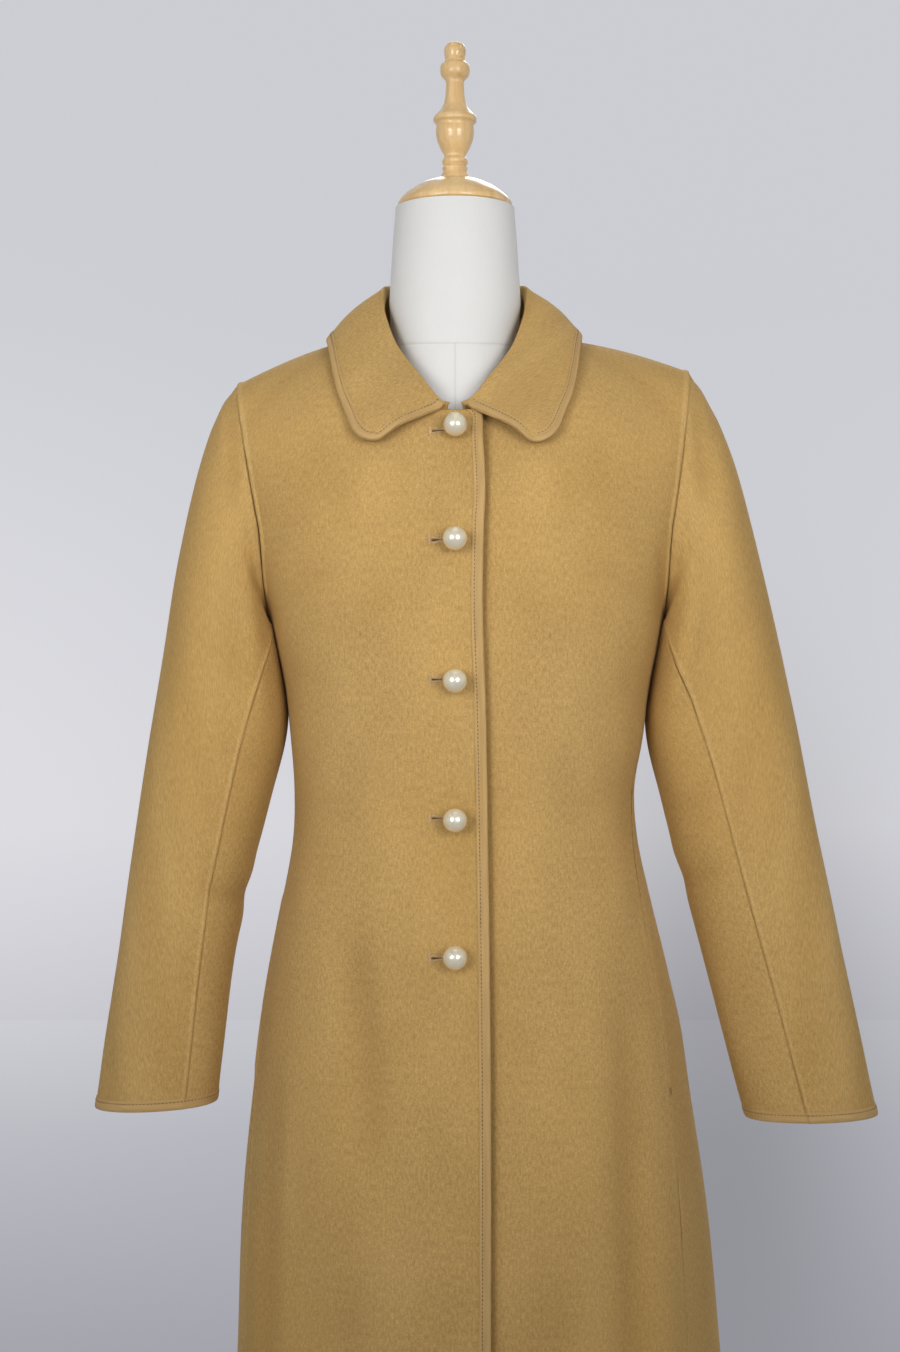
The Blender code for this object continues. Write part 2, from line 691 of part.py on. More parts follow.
def panel_faces(grids):
    """Faces of a lower grid and the yoke grid that grows from its last row."""
    lower, upper = grids
    numbers = np.arange(lower.shape[0] * lower.shape[1]).reshape(lower.shape[:2])
    rest = numbers.size + np.arange((len(upper) - 1) * upper.shape[1]).reshape(-1, upper.shape[1])
    first = numbers[-1:, UNDERARM:UNDERARM + upper.shape[1]]
    return quads(numbers) + quads(np.concatenate([first, rest]))


def panel_points(grids):
    return np.concatenate([grids[0].reshape(-1, 3), grids[1][1:].reshape(-1, 3)])


def grid_normals(grid, outward, ring=False):
    """Normals of a grid of points, turned to the side that the first point's outward direction shows."""
    across = np.gradient(grid, axis=1)
    if ring:
        across = (np.roll(grid, -1, axis=1) - np.roll(grid, 1, axis=1)) / 2
    normals = unit(np.cross(across, np.gradient(grid, axis=0)))
    return normals if normals[0, 0] @ outward > 0 else -normals


def panel_normals(grids, outward):
    """Normals of a lower and a yoke grid, each the mean of the faces round its point."""
    points, faces = panel_points(grids), np.array(panel_faces(grids))
    a, b, c, d = (points[faces[:, corner]] for corner in range(4))
    looks = unit(np.cross(c - a, d - b))
    total = np.zeros_like(points)
    for corner in range(4):
        np.add.at(total, faces[:, corner], looks)
    total = unit(total)
    total = total if total[0] @ outward > 0 else -total
    lower, upper = grids
    count = lower.shape[0] * lower.shape[1]
    low = total[:count].reshape(lower.shape)
    rest = total[count:].reshape(-1, *upper.shape[1:])
    return [low, np.concatenate([low[-1:, UNDERARM:UNDERARM + upper.shape[1]], rest])]


def body_normals(angle, height):
    """Normals of the plain body section, the same for both panels of a seam."""
    small = 1e-4
    across = body_point(angle + small, height) - body_point(angle - small, height)
    upward = body_point(angle, height + small) - body_point(angle, height - small)
    return unit(np.cross(across, upward))


# Meshes and materials

for old in list(bpy.data.objects):
    bpy.data.objects.remove(old, do_unlink=True)

coat_parts = bpy.data.collections.new("wool_coat_on_dress_form")
cutters = bpy.data.collections.new("cutters")
bpy.context.scene.collection.children.link(coat_parts)
bpy.context.scene.collection.children.link(cutters)


def finish(name, mesh, slot, outward=True):
    """Link a mesh as a named solid with its own material."""
    if outward:
        work = bmesh.new()
        work.from_mesh(mesh)
        bmesh.ops.recalc_face_normals(work, faces=work.faces)
        work.to_mesh(mesh)
        work.free()
    mesh.shade_smooth()
    mesh.set_sharp_from_angle(angle=SMOOTH_ANGLE)
    material = bpy.data.materials.new(name + "_" + slot)
    material.use_nodes = True
    shader = material.node_tree.nodes["Principled BSDF"]
    for socket, value in zip(("Base Color", "Roughness", "Metallic"), FINISHES[slot]):
        shader.inputs[socket].default_value = value
    mesh.materials.append(material)
    part = bpy.data.objects.new(name, mesh)
    coat_parts.objects.link(part)
    return part


def cloth_wall(name, outer, inner, faces, slot):
    """A wall between two sets of points, its rim cut by the same diagonals on both sides of a seam."""
    count = len(outer)
    sides = {(a, b) for face in faces for a, b in zip(face, face[1:] + face[:1])}
    walls = faces + [[corner + count for corner in face[::-1]] for face in faces]
    order = np.array([0.31, 0.47, 1.0])
    for a, b in sides:
        if (b, a) in sides:
            continue
        if outer[a] @ order < outer[b] @ order:
            walls += [[b, a, b + count], [a, a + count, b + count]]
        else:
            walls += [[b, a, a + count], [b, a + count, b + count]]
    mesh = bpy.data.meshes.new(name)
    mesh.from_pydata(np.concatenate([outer, inner]).tolist(), [], walls)
    return finish(name, mesh, slot)


def loft(name, sections, slot, ring=False, caps=None):
    """A solid through closed sections, capped at its ends or joined into a loop."""
    count, corners = sections.shape[:2]
    numbers = np.arange(count * corners).reshape(count, corners)
    if ring:
        faces = quads(np.concatenate([numbers, numbers[:1]]), ring=True)
    else:
        faces = quads(numbers, ring=True)
        for corner_list in caps or [list(range(corners))]:
            faces += [numbers[0, corner_list].tolist(), numbers[-1, corner_list].tolist()]
    mesh = bpy.data.meshes.new(name)
    mesh.from_pydata(sections.reshape(-1, 3).tolist(), [], faces)
    return finish(name, mesh, slot)


def turned(name, profile, slot, steps):
    """A solid turned about Z from a profile of radius and height, top to bottom."""
    mesh = bpy.data.meshes.new(name)
    edges = [(i, i + 1) for i in range(len(profile) - 1)]
    mesh.from_pydata([(radius, 0.0, height) for radius, height in profile], edges, [])
    part = finish(name, mesh, slot, outward=False)
    screw = part.modifiers.new("turn", "SCREW")
    screw.axis = "Z"
    screw.angle = 2 * math.pi
    screw.steps = steps
    screw.render_steps = steps
    screw.use_merge_vertices = True
    screw.merge_threshold = 0.00001
    screw.use_smooth_shade = True
    return part


# Outer faces of all panels

SIDES = ((RIGHT, "right"), (LEFT, "left"))
front = {side: front_grids(side) for side, _ in SIDES}
back = back_grids()
sleeve = {side: sleeve_grid(side) for side, _ in SIDES}

front_normals = {side: panel_normals(front[side], np.array([side, -1.0, 0.0])) for side, _ in SIDES}
back_normals = panel_normals(back, np.array([1.0, 0.0, 0.0]))
sleeve_normals = {side: grid_normals(sleeve[side], np.array([side, 0.0, 1.0]), True) for side, _ in SIDES}


# Seams: the panels of a seam share one mitre, and stand half a gap to either side of it


def armhole_edge(grids, column, inward):
    """The armhole's points of a panel's grid, from the underarm to the shoulder."""
    lower, upper = grids
    under = [lower[-1, column + inward * j] for j in range(UNDERARM)]
    return np.array(under + list(upper[:, 0 if inward > 0 else -1]))


def armhole_frames(side):
    """For each turn of the armhole: the mitre's normal and the direction from the body to the sleeve."""
    half = RING_STEPS // 2
    before = armhole_edge(front_normals[side], 0, 1)[::-1]
    behind = armhole_edge(back_normals, 0 if side == LEFT else -1, side)[::-1]
    body = np.zeros((RING_STEPS, 3))
    body[:half + 1] += before
    body[half:] += behind[:0:-1]
    body[0] += behind[0]
    normal = unit(unit(body) + sleeve_normals[side][0])
    along = np.roll(sleeve[side][0], -1, axis=0) - np.roll(sleeve[side][0], 1, axis=0)
    across = unit(np.cross(along, normal))
    away = np.sum(across * (sleeve[side][1] - sleeve[side][0]), axis=-1)
    return normal, across * np.sign(np.median(away))


armhole = {side: armhole_frames(side) for side, _ in SIDES}


def shoulder_normals(side, share):
    small = 1e-3
    along = shoulder_line(side, share + small) - shoulder_line(side, share - small)
    return unit(np.cross(along, np.array([0.0, side, 0.0])))


def panel_wall(grids, normals, seams):
    """Outer and inner points of a panel, its seam edges mitred and moved half a gap inside the seam."""
    lower, upper = grids
    normals = [part.copy() for part in normals]
    moves = [np.zeros_like(part) for part in grids]
    half = RING_STEPS // 2
    shares = np.linspace(1.0, 0.0, SHOULDER_STEPS + 1)
    for side, column, inward, way in seams:
        edge = 0 if inward > 0 else -1
        heights = lower[:, column, 2]
        normals[0][:, column] = body_normals(side_angle(side, heights), heights)
        moves[0][:, column] += unit(lower[:, column + inward] - lower[:, column])
        on_shoulder = [edge + inward * k for k in range(SHOULDER_STEPS + 1)]
        normals[1][-1, on_shoulder] = shoulder_normals(side, shares)
        moves[1][-1, on_shoulder] += unit(upper[-2, on_shoulder] - upper[-1, on_shoulder])
        mitre, across = armhole[side]
        for j in range(half + 1):
            turn = way * (half - j)
            place = (0, -1, column + inward * j) if j <= UNDERARM else (1, j - UNDERARM, edge)
            normals[place[0]][place[1:]] = mitre[turn]
            moves[place[0]][place[1:]] -= across[turn]
    outer = panel_points([grid + move * SEAM_GAP / 2 for grid, move in zip(grids, moves)])
    return outer, outer - panel_points(normals) * CLOTH


walls = {}
for side, label in SIDES:
    points = panel_wall(front[side], front_normals[side], [(side, 0, 1, 1)])
    walls["front_" + label] = (*points, panel_faces(front[side]))
points = panel_wall(back, back_normals, [(LEFT, 0, 1, -1), (RIGHT, -1, -1, -1)])
walls["back"] = (*points, panel_faces(back))


def sleeve_walls(side):
    """Top and under sleeve, cut along the front and back seams."""
    normals = sleeve_normals[side].copy()
    mitre, across = armhole[side]
    normals[0] = mitre
    outer = sleeve[side].copy()
    outer[0] += across * SEAM_GAP / 2
    inner = outer - normals * CLOTH
    first = int(ARMHOLE_FRONT_SEAM * RING_STEPS / 360)
    second = int(ARMHOLE_BACK_SEAM * RING_STEPS / 360)
    for piece, start, end in (("under", first, second), ("top", second, first + RING_STEPS)):
        columns = np.arange(start, end + 1) % RING_STEPS
        faces = [grid[:, columns].copy() for grid in (outer, inner)]
        for edge, way in ((0, 1), (-1, -1)):
            seam = columns[edge]
            around = outer[:, (seam + 1) % RING_STEPS] - outer[:, (seam - 1) % RING_STEPS]
            apart = unit(np.cross(np.gradient(outer[:, seam], axis=0), normals[:, seam]))
            apart *= np.sign(np.sum(apart * around, axis=1, keepdims=True))
            straight = unit(around[0])
            apart[0] = straight / abs(straight @ apart[0])
            for face in faces:
                face[:, edge] += way * apart * SEAM_GAP / 2
        yield piece, (faces[0].reshape(-1, 3), faces[1].reshape(-1, 3), grid_faces(faces[0]))


for side, label in SIDES:
    for piece, wall in sleeve_walls(side):
        walls["sleeve_" + label + "_" + piece] = wall

parts = {name: cloth_wall(name, *wall, "wool") for name, wall in walls.items()}


# Collar: rises from the neckline, rolls over and rests just clear of the fronts and the back


def joined_tree(meshes):
    """One search tree over several sets of points and faces."""
    points, faces = [], []
    for some_points, some_faces in meshes:
        faces += [[corner + len(points) for corner in face] for face in some_faces]
        points += some_points.tolist()
    return BVHTree.FromPolygons(points, faces)


def outward_faces(grids, normals):
    """Faces of a panel that look the way its normals do."""
    points, faces = panel_points(grids), panel_faces(grids)
    a, b, c = (points[corner] for corner in faces[0][:3])
    looks = np.cross(b - a, c - a) @ normals[0][0, 0] > 0
    return faces if looks else [face[::-1] for face in faces]


panels = [(front[RIGHT], front_normals[RIGHT]), (front[LEFT], front_normals[LEFT]), (back, back_normals)]
resting = joined_tree([(panel_points(grids), outward_faces(grids, normals)) for grids, normals in panels])


def clear_of_coat(point, clearance, onto=False):
    """The point moved out to a clearance over the coat, or set exactly on it."""
    for _ in range(4):
        place, normal, _, _ = resting.find_nearest(Vector(point))
        height = (point - np.array(place)) @ np.array(normal)
        if not onto and height >= clearance:
            break
        point = point + np.array(normal) * (clearance - height)
    return point


def neck_stations():
    """Neckline points from the wearer's right front end round the back to the left, with their frames."""
    neck = slice(SHOULDER_STEPS, SHOULDER_STEPS + len(NECK_TURNS))
    behind = slice(SHOULDER_STEPS + 1, -SHOULDER_STEPS - 1)

    def along(right, middle, left):
        return np.concatenate([right[1][-1, neck][::-1], middle[1][-1, behind][::-1], left[1][-1, neck]])

    whole = along(front[RIGHT], back, front[LEFT])
    normals = along(front_normals[RIGHT], back_normals, front_normals[LEFT])
    steps = np.concatenate([[0.0], np.cumsum(np.linalg.norm(np.diff(whole, axis=0), axis=1))])
    half = len(whole) // 2
    left_shares = (steps[-1] - steps[half + 1:]) / (steps[-1] - steps[half])
    shares = np.concatenate([steps[:half + 1] / steps[half], left_shares])
    sides = np.where(np.arange(len(whole)) <= half, RIGHT, LEFT)
    for side, place in ((RIGHT, len(NECK_TURNS) - 1), (LEFT, -len(NECK_TURNS))):
        normals[place] = shoulder_normals(side, np.array(0.0))
    toward = unit(np.cross(normals, np.gradient(whole, axis=0)))
    inward = np.sum(toward * whole * (-1, -1, 0), axis=1, keepdims=True)
    return whole, sides, shares, normals, toward * np.sign(inward)


stations = neck_stations()
fold_line = curves(COLLAR_FOLD, "share")
outer_edge = curves(COLLAR_EDGE, "share")


def collar_section(base, side, share, normal, toward):
    """Visible face of the collar at one station: stand, roll and fall."""
    start = base + toward * (COLLAR_SEAM + CLOTH) - normal * CLOTH * 0.5
    top = np.array([side * fold_line["x"](share), fold_line["y"](share), fold_line["z"](share)])
    rest = np.array([side * outer_edge["x"](share), outer_edge["y"](share), outer_edge["z"](share)])
    clear = CLOTH + outer_edge["clear"](share)
    rest = clear_of_coat(rest, clear, onto=True)
    out = unit(rest - top)
    rise = unit(top - start)
    roll = min(COLLAR_ROLL, 0.42 * np.linalg.norm(top - start))
    across = unit(out - (out @ rise) * rise)
    before = top - across * roll - rise * roll
    after = clear_of_coat(top + across * roll - rise * roll, clear)
    section = [start, mix(start, before, 0.55), before, top, after]
    lift = unit(np.cross(np.cross(out, rise), out))
    bound = 1 - (BINDING_WIDTH + 0.0005) / np.linalg.norm(rest - after)
    for t in (*np.linspace(0.0, bound, FALL_STEPS)[1:], 1.0):
        point = mix(after, rest, t) + lift * FALL_BULGE * math.sin(math.pi * t)
        section.append(clear_of_coat(point, clear))
    return section


collar = np.array([collar_section(*station) for station in zip(*stations)])
collar_normals = grid_normals(collar, stations[4][0])
collar_normals[:, 0] = stations[4]
collar_under = collar - collar_normals * CLOTH


def corner_split(faces, corners):
    """The quads at the collar's two round corners cut into triangles from the corner itself."""
    done = []
    for face in faces:
        at = [place for place, corner in enumerate(face) if corner in corners]
        if at:
            a, b, c, d = face[at[0]:] + face[:at[0]]
            done += [[a, b, c], [a, c, d]]
        else:
            done.append(face)
    return done


across = collar.shape[1]
collar_faces = corner_split(grid_faces(collar), (across - 1, len(collar) * across - 1))
collar_points = collar.reshape(-1, 3)
parts["collar"] = cloth_wall("collar", collar_points, collar_under.reshape(-1, 3), collar_faces, "wool")


# Bindings: a folded strip over an edge, made from the points and normals of the cloth it covers


STRIP_CAPS = [[0, 1, 2, 9], [2, 3, 9], [3, 4, 8, 9], [4, 5, 8], [5, 6, 7, 8]]


def folded_strip(edge, edge_normals, next_points, next_normals, gap=BINDING_GAP):
    """Sections of a strip folded over an edge: outer face, round the edge, inner face and back."""
    wall = BINDING_WALL
    under = -CLOTH - gap
    sections = []
    for p, n, q, m in zip(edge, edge_normals, next_points, next_normals):
        length = np.linalg.norm(q - p)
        inward = (q - p) / length
        width = min(BINDING_WIDTH, MITRE_SHARE * length)
        corners = (
            (width, gap),
            (width, gap + wall),
            (-gap, gap + wall),
            (-gap - wall, gap),
            (-gap - wall, under),
            (-gap, under - wall),
            (width, under - wall),
            (width, under),
            (-gap, under),
            (-gap, gap),
        )
        sections.append([p + inward * reach + mix(n, m, reach / length) * high for reach, high in corners])
    return np.array(sections)


def panel_edge(grids, column):
    return np.concatenate([grids[0][:, column], grids[1][1:-1, column]])


lap = [panel_edge(grids, column) for column in (-1, -2) for grids in (front[RIGHT], front_normals[RIGHT])]
parts["binding_front"] = loft("binding_front", folded_strip(*lap), "binding", caps=STRIP_CAPS)

FIRST_FALL = 5
end = collar.shape[1] - 1
last = len(collar) - 1
path = [((0, k), (1, k)) for k in range(FIRST_FALL, end)]
path += [((i, end), (min(max(i, 1), last - 1), end - 1)) for i in range(last + 1)]
path += [((last, k), (last - 1, k)) for k in range(end - 1, FIRST_FALL - 1, -1)]
turns = np.array([end - FIRST_FALL, end - FIRST_FALL + last])
beside_turns = np.concatenate([turns - 1, turns])


def halved(line):
    """The line with a point midway on either side of both collar corners."""
    middles = (line[beside_turns] + line[beside_turns + 1]) / 2
    return np.insert(line, beside_turns + 1, middles, axis=0)


edge_lines = []
for which in (0, 1):
    edge_lines.append(halved(np.array([collar[step[which]] for step in path])))
    edge_lines.append(unit(halved(np.array([collar_normals[step[which]] for step in path]))))
edge_strip = folded_strip(*edge_lines, COLLAR_BINDING_GAP)
parts["binding_collar"] = loft("binding_collar", edge_strip, "binding", caps=STRIP_CAPS)

for side, label in SIDES:
    cuff = [grid[row] for row in (-1, -2) for grid in (sleeve[side], sleeve_normals[side])]
    name = "binding_cuff_" + label
    parts[name] = loft(name, folded_strip(*cuff), "binding", ring=True)


# Buttons on the lap, each through a buttonhole

lap_tree = joined_tree([(panel_points(front[RIGHT]), outward_faces(front[RIGHT], front_normals[RIGHT]))])

ball_middle = BALL_LIFT + BALL_RADIUS
seat = math.asin(SHANK_RADIUS / BALL_RADIUS)
button_profile = [(0.0, ball_middle + BALL_RADIUS)]
for k in range(1, BALL_STEPS + 1):
    tilt = (math.pi - seat) * k / BALL_STEPS
    button_profile.append((BALL_RADIUS * math.sin(tilt), ball_middle + BALL_RADIUS * math.cos(tilt)))
button_profile.append((SHANK_RADIUS, -SHANK_DEPTH))
button_profile.append((0.0, -SHANK_DEPTH))

for number, height in enumerate(BUTTON_HEIGHTS, start=1):
    place, normal, _, _ = lap_tree.ray_cast(Vector((0.0, -1.0, height)), Vector((0.0, 1.0, 0.0)))
    name = "button_" + str(number)
    parts[name] = turned(name, button_profile, "pearl", 14)
    facing = normal.to_track_quat("Z", "Y").to_matrix().to_4x4()
    parts[name].matrix_world = Matrix.Translation(place) @ facing
    bpy.ops.mesh.primitive_cube_add(size=1.0)
    slot = bpy.context.object
    slot.name = "buttonhole_" + str(number)
    lean = Matrix.Rotation(-math.atan2(normal.z, -normal.y), 4, "X")
    middle = Matrix.Translation(place + Vector((BUTTONHOLE_CENTRE, 0.0, 0.0)))
    slot.matrix_world = middle @ lean @ Matrix.Diagonal((BUTTONHOLE_LENGTH, 0.020, BUTTONHOLE_WIDTH, 1.0))
    for collection in list(slot.users_collection):
        collection.objects.unlink(slot)
    cutters.objects.link(slot)
    slot.hide_render = True
    slot.display_type = "WIRE"
    cut = parts["front_right"].modifiers.new(slot.name, "BOOLEAN")
    cut.operation = "DIFFERENCE"
    cut.solver = "EXACT"
    cut.object = slot


# Dress form: torso and neck inside the coat, turned cap and finial, post and base

inner_faces = [(wall[1], wall[2]) for wall in walls.values()]
inside = joined_tree(inner_faces + [(collar_points, collar_faces)])
form_turns = np.arange(FORM_STEPS) * 2 * math.pi / FORM_STEPS
form_side = np.abs(np.sin(form_turns))[:, None]


def form_level(sizes, height):
    """A level section of the form."""
    size = {name: float(line(height)) for name, line in curves(sizes, "height").items()}
    power = 2.0 / size["square"]
    depth = np.where(np.cos(form_turns) > 0, size["front"], size["back"])
    x = size["half_width"] * signed_power(np.sin(form_turns), power)
    y = FORM_Y - depth * signed_power(np.cos(form_turns), power)
    return np.stack([x, y, np.full(FORM_STEPS, height)], axis=1)


def neck_root():
    """The ring just inside the coat's neckline, where the form's shoulders turn into its neck."""
    ahead = front_neck(form_turns)
    behind = back_neck(math.pi - form_turns)
    ring = np.where((np.cos(form_turns) > 0)[:, None], ahead, behind)
    out = unit((ring - (0.0, FORM_Y, 0.0)) * (1, 1, 0))
    return ring - out * FORM_ROOT_IN - (0.0, 0.0, FORM_ROOT_DOWN)


def form_rings():
    """All rings of the form, from the bottom up."""
    torso = [form_level(FORM, height) for height in FORM["height"]]
    neck = [form_level(FORM_NECK, height) for height in FORM_NECK["height"]]
    root = neck_root()
    leave = unit(torso[-1] - form_level(FORM, FORM["height"][-1] - 0.005))
    lean = np.where((np.cos(form_turns) > 0)[:, None], FORM_FRONT_LEAN, FORM_BACK_LEAN)
    slope = np.zeros_like(root) + (0.0, 0.0, FORM_SHOULDER_SLOPE)
    slope[:, 0] = -np.sign(np.sin(form_turns))
    arrive = unit(mix(lean, slope, form_side ** 1.5))
    length = np.linalg.norm(root - torso[-1], axis=1, keepdims=True)
    length = length * mix(1.0, FORM_SHOULDER_SPREAD, form_side ** 2)
    rings = list(torso)
    for t in np.arange(1, FORM_YOKE_STEPS + 1) / FORM_YOKE_STEPS:
        pad = FORM_SHOULDER_PAD * math.sin(math.pi * t) ** 2 * form_side ** 6 * np.array([0.0, 0.0, 1.0])
        rings.append(hermite(torso[-1], root, leave * length, arrive * length, t) + pad)
    length = np.linalg.norm(neck[0] - root, axis=1, keepdims=True)
    upright = np.array([0.0, 0.0, 1.0])
    for t in np.arange(1, FORM_ROOT_STEPS) / FORM_ROOT_STEPS:
        rings.append(hermite(root, neck[0], arrive * length, upright * length, t))
    return rings + neck


def kept_inside(point):
    """The point drawn in until the cloth is further than the clearance."""
    middle = Vector((0.0, FORM_Y, min(point[2], FORM["height"][-1])))
    if math.hypot(point[0], point[1] - FORM_Y) < 0.075:
        middle.z = point[2]
    arm = Vector(point) - middle
    for _ in range(60):
        near = inside.find_nearest(middle + arm)[3]
        hit = inside.ray_cast(middle, arm.normalized(), arm.length)[3]
        if near > FORM_CLEAR and hit is None:
            break
        arm *= 1 - 0.0008 / arm.length
    return middle + arm


form_rows = np.array([[kept_inside(point) for point in ring] for ring in form_rings()])
parts["form_torso"] = loft("form_torso", form_rows, "form_cloth")
for name, profile, steps in (
    ("form_neck_cap", CAP_PROFILE, WOOD_STEPS),
    ("form_finial", FINIAL_PROFILE, WOOD_STEPS),
    ("form_post", POST_PROFILE, WOOD_STEPS),
    ("form_base", BASE_PROFILE, 40),
):
    parts[name] = turned(name, profile, "wood", steps)
    parts[name].location.y = FORM_Y if name in ("form_neck_cap", "form_finial") else 0.0
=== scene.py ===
# %% [markdown]
# # A camel wool coat, buttoned on a dress form
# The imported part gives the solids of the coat: every panel, the collar, the bindings, the buttons and the form.
# They are right in size and place, but plain. This lesson puts finished pieces on them: thin wool with seams
# and soft creases, bound edges with their stitches, pearls, and turned wood.
# The frame is loaded first, because every piece below takes its place from it and nothing is ever moved.

# %% Load the solids
import math

import bmesh
import bpy
import numpy as np
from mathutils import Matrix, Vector
from mathutils.bvhtree import BVHTree


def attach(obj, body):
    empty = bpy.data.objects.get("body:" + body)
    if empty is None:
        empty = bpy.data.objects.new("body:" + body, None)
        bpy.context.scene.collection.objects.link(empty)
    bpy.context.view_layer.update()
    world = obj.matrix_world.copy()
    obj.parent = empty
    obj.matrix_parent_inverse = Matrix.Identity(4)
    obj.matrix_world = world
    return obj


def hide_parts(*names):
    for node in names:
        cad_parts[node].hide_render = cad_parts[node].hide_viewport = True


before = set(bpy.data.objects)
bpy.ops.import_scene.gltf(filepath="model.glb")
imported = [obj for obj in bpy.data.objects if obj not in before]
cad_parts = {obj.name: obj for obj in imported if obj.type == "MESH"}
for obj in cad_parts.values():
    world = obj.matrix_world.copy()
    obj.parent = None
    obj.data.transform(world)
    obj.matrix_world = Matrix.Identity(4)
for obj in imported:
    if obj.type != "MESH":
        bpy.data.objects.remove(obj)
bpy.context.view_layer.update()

# %% [markdown]
# ## Camera
# The photograph was taken from straight ahead at chest height, with the hem below its lower edge.
# A pixel covers 0.87 mm at the coat's middle, and a distance of 1.8 m gives the same perspective
# between the buttons and the shoulders. The sensor's 36 mm lie along the long, upright side.

# %% Camera
PHOTO_TALL = 1352
PIXEL = 0.00087
CAMERA_PLACE = (-0.00435, -1.8, 1.08)
SENSOR = 36.0

camera = bpy.data.objects.new("camera", bpy.data.cameras.new("camera"))
camera.data.sensor_width = SENSOR
camera.data.lens = SENSOR * -CAMERA_PLACE[1] / (PIXEL * PHOTO_TALL)
camera.location = CAMERA_PLACE
camera.rotation_euler = (math.pi / 2, 0.0, 0.0)
bpy.context.scene.collection.objects.link(camera)
bpy.context.scene.camera = camera
print("lens:", round(camera.data.lens, 1), "mm")

# %% [markdown]
# ## Shader maths in Python
# A finish is a small graph of nodes. Wiring it by hand is long, so one class holds a material and adds any node
# in one call, and another wraps a socket so that plain sums such as `1 - nap` add their own Math nodes.
# Only what varies over the cloth goes through nodes. What is the same all over is set on the shader itself.


# %% Finish maker
def two_way(operation):
    """Two methods for one sum: with the value first, and with the value last."""
    return (lambda self, other: self.maths(operation, self, other),
            lambda self, other: self.maths(operation, other, self))


class Tone:
    """A value socket that works in Python sums."""

    def __init__(self, finish, socket):
        self.finish = finish
        self.socket = socket

    def maths(self, operation, first, second):
        return self.finish.node("ShaderNodeMath", {"operation": operation}, {0: first, 1: second})

    __add__, __radd__ = two_way("ADD")
    __sub__, __rsub__ = two_way("SUBTRACT")
    __mul__, __rmul__ = two_way("MULTIPLY")
    __pow__, __rpow__ = two_way("POWER")


def plug(tree, socket, value):
    """Link another node's socket to this one, or set its plain value."""
    if isinstance(value, Tone):
        value = value.socket
    if isinstance(value, bpy.types.NodeSocket):
        tree.links.new(value, socket)
    else:
        socket.default_value = value


def add_node(tree, kind, settings=None, sockets=None):
    """Any node of a tree: its settings first, then the values or links of its sockets."""
    made = tree.nodes.new(kind)
    for name, value in (settings or {}).items():
        setattr(made, name, value)
    for name, value in (sockets or {}).items():
        plug(tree, made.inputs[name], value)
    return made


class Finish:
    """A material with one Principled shader, built up one node at a time."""

    def __init__(self, name, **constants):
        self.material = bpy.data.materials.new(name)
        self.material.use_nodes = True
        self.tree = self.material.node_tree
        self.shader = self.tree.nodes["Principled BSDF"]
        for socket, value in constants.items():
            self.shader.inputs[socket.replace("_", " ").title().replace("Ior", "IOR")].default_value = value

    def node(self, kind, settings=None, sockets=None, output=0):
        return Tone(self, add_node(self.tree, kind, settings, sockets).outputs[output])

    def feed(self, socket, value):
        plug(self.tree, self.shader.inputs[socket], value)

    def ramp(self, value, stops):
        """A colour from a row of stops, each a place from 0 to 1 and its colour."""
        made = add_node(self.tree, "ShaderNodeValToRGB", None, {0: value})
        elements = made.color_ramp.elements
        for place, (stop, tone) in enumerate(stops):
            element = elements[place] if place < 2 else elements.new(stop)
            element.position = stop
            element.color = tone
        return Tone(self, made.outputs[0])

    def between(self, share, first, second):
        """A colour between two others."""
        sockets = {0: share, 6: first, 7: second}
        return self.node("ShaderNodeMix", {"data_type": "RGBA"}, sockets, output=2)

    def scaled(self, place, scale):
        settings = {"operation": "MULTIPLY"}
        return self.node("ShaderNodeVectorMath", settings, {0: place, 1: scale})

    def noise(self, place, scale, detail=2.0, roughness=0.5):
        """Soft noise from 0 to 1: scale is in spots to a metre, one number or one for each direction."""
        if not isinstance(scale, float):
            place, scale = self.scaled(place, scale), 1.0
        sockets = {"Vector": place, "Scale": scale, "Detail": detail, "Roughness": roughness}
        return self.node("ShaderNodeTexNoise", {"noise_dimensions": "3D"}, sockets)

    def ranged(self, value, low, high):
        """A value spread out so that low becomes 0 and high becomes 1."""
        return self.node("ShaderNodeMapRange", None, {0: value, 1: low, 2: high, 3: 0.0, 4: 1.0})

    def axes(self, place):
        """The three coordinates of a place, each a value."""
        return [self.node("ShaderNodeSeparateXYZ", None, {0: place}, output=axis) for axis in range(3)]

    def bump(self, height, distance, strength=1.0, under=None):
        sockets = {"Height": height, "Distance": distance, "Strength": strength}
        if under is not None:
            sockets["Normal"] = under
        return self.node("ShaderNodeBump", None, sockets)

    def on_cloth(self):
        return self.node("ShaderNodeUVMap", {"uv_map": "cloth"})

    def on_object(self):
        return self.node("ShaderNodeTexCoord", None, None, output=3)


def colour(red, green, blue):
    """A colour as it is read from a screen, 0 to 255, in the renderer's own scale."""
    parts = [value / 255.0 for value in (red, green, blue)]
    linear = [((value + 0.055) / 1.055) ** 2.4 if value > 0.04 else value / 12.92 for value in parts]
    return (*linear, 1.0)


print("finish maker ready")
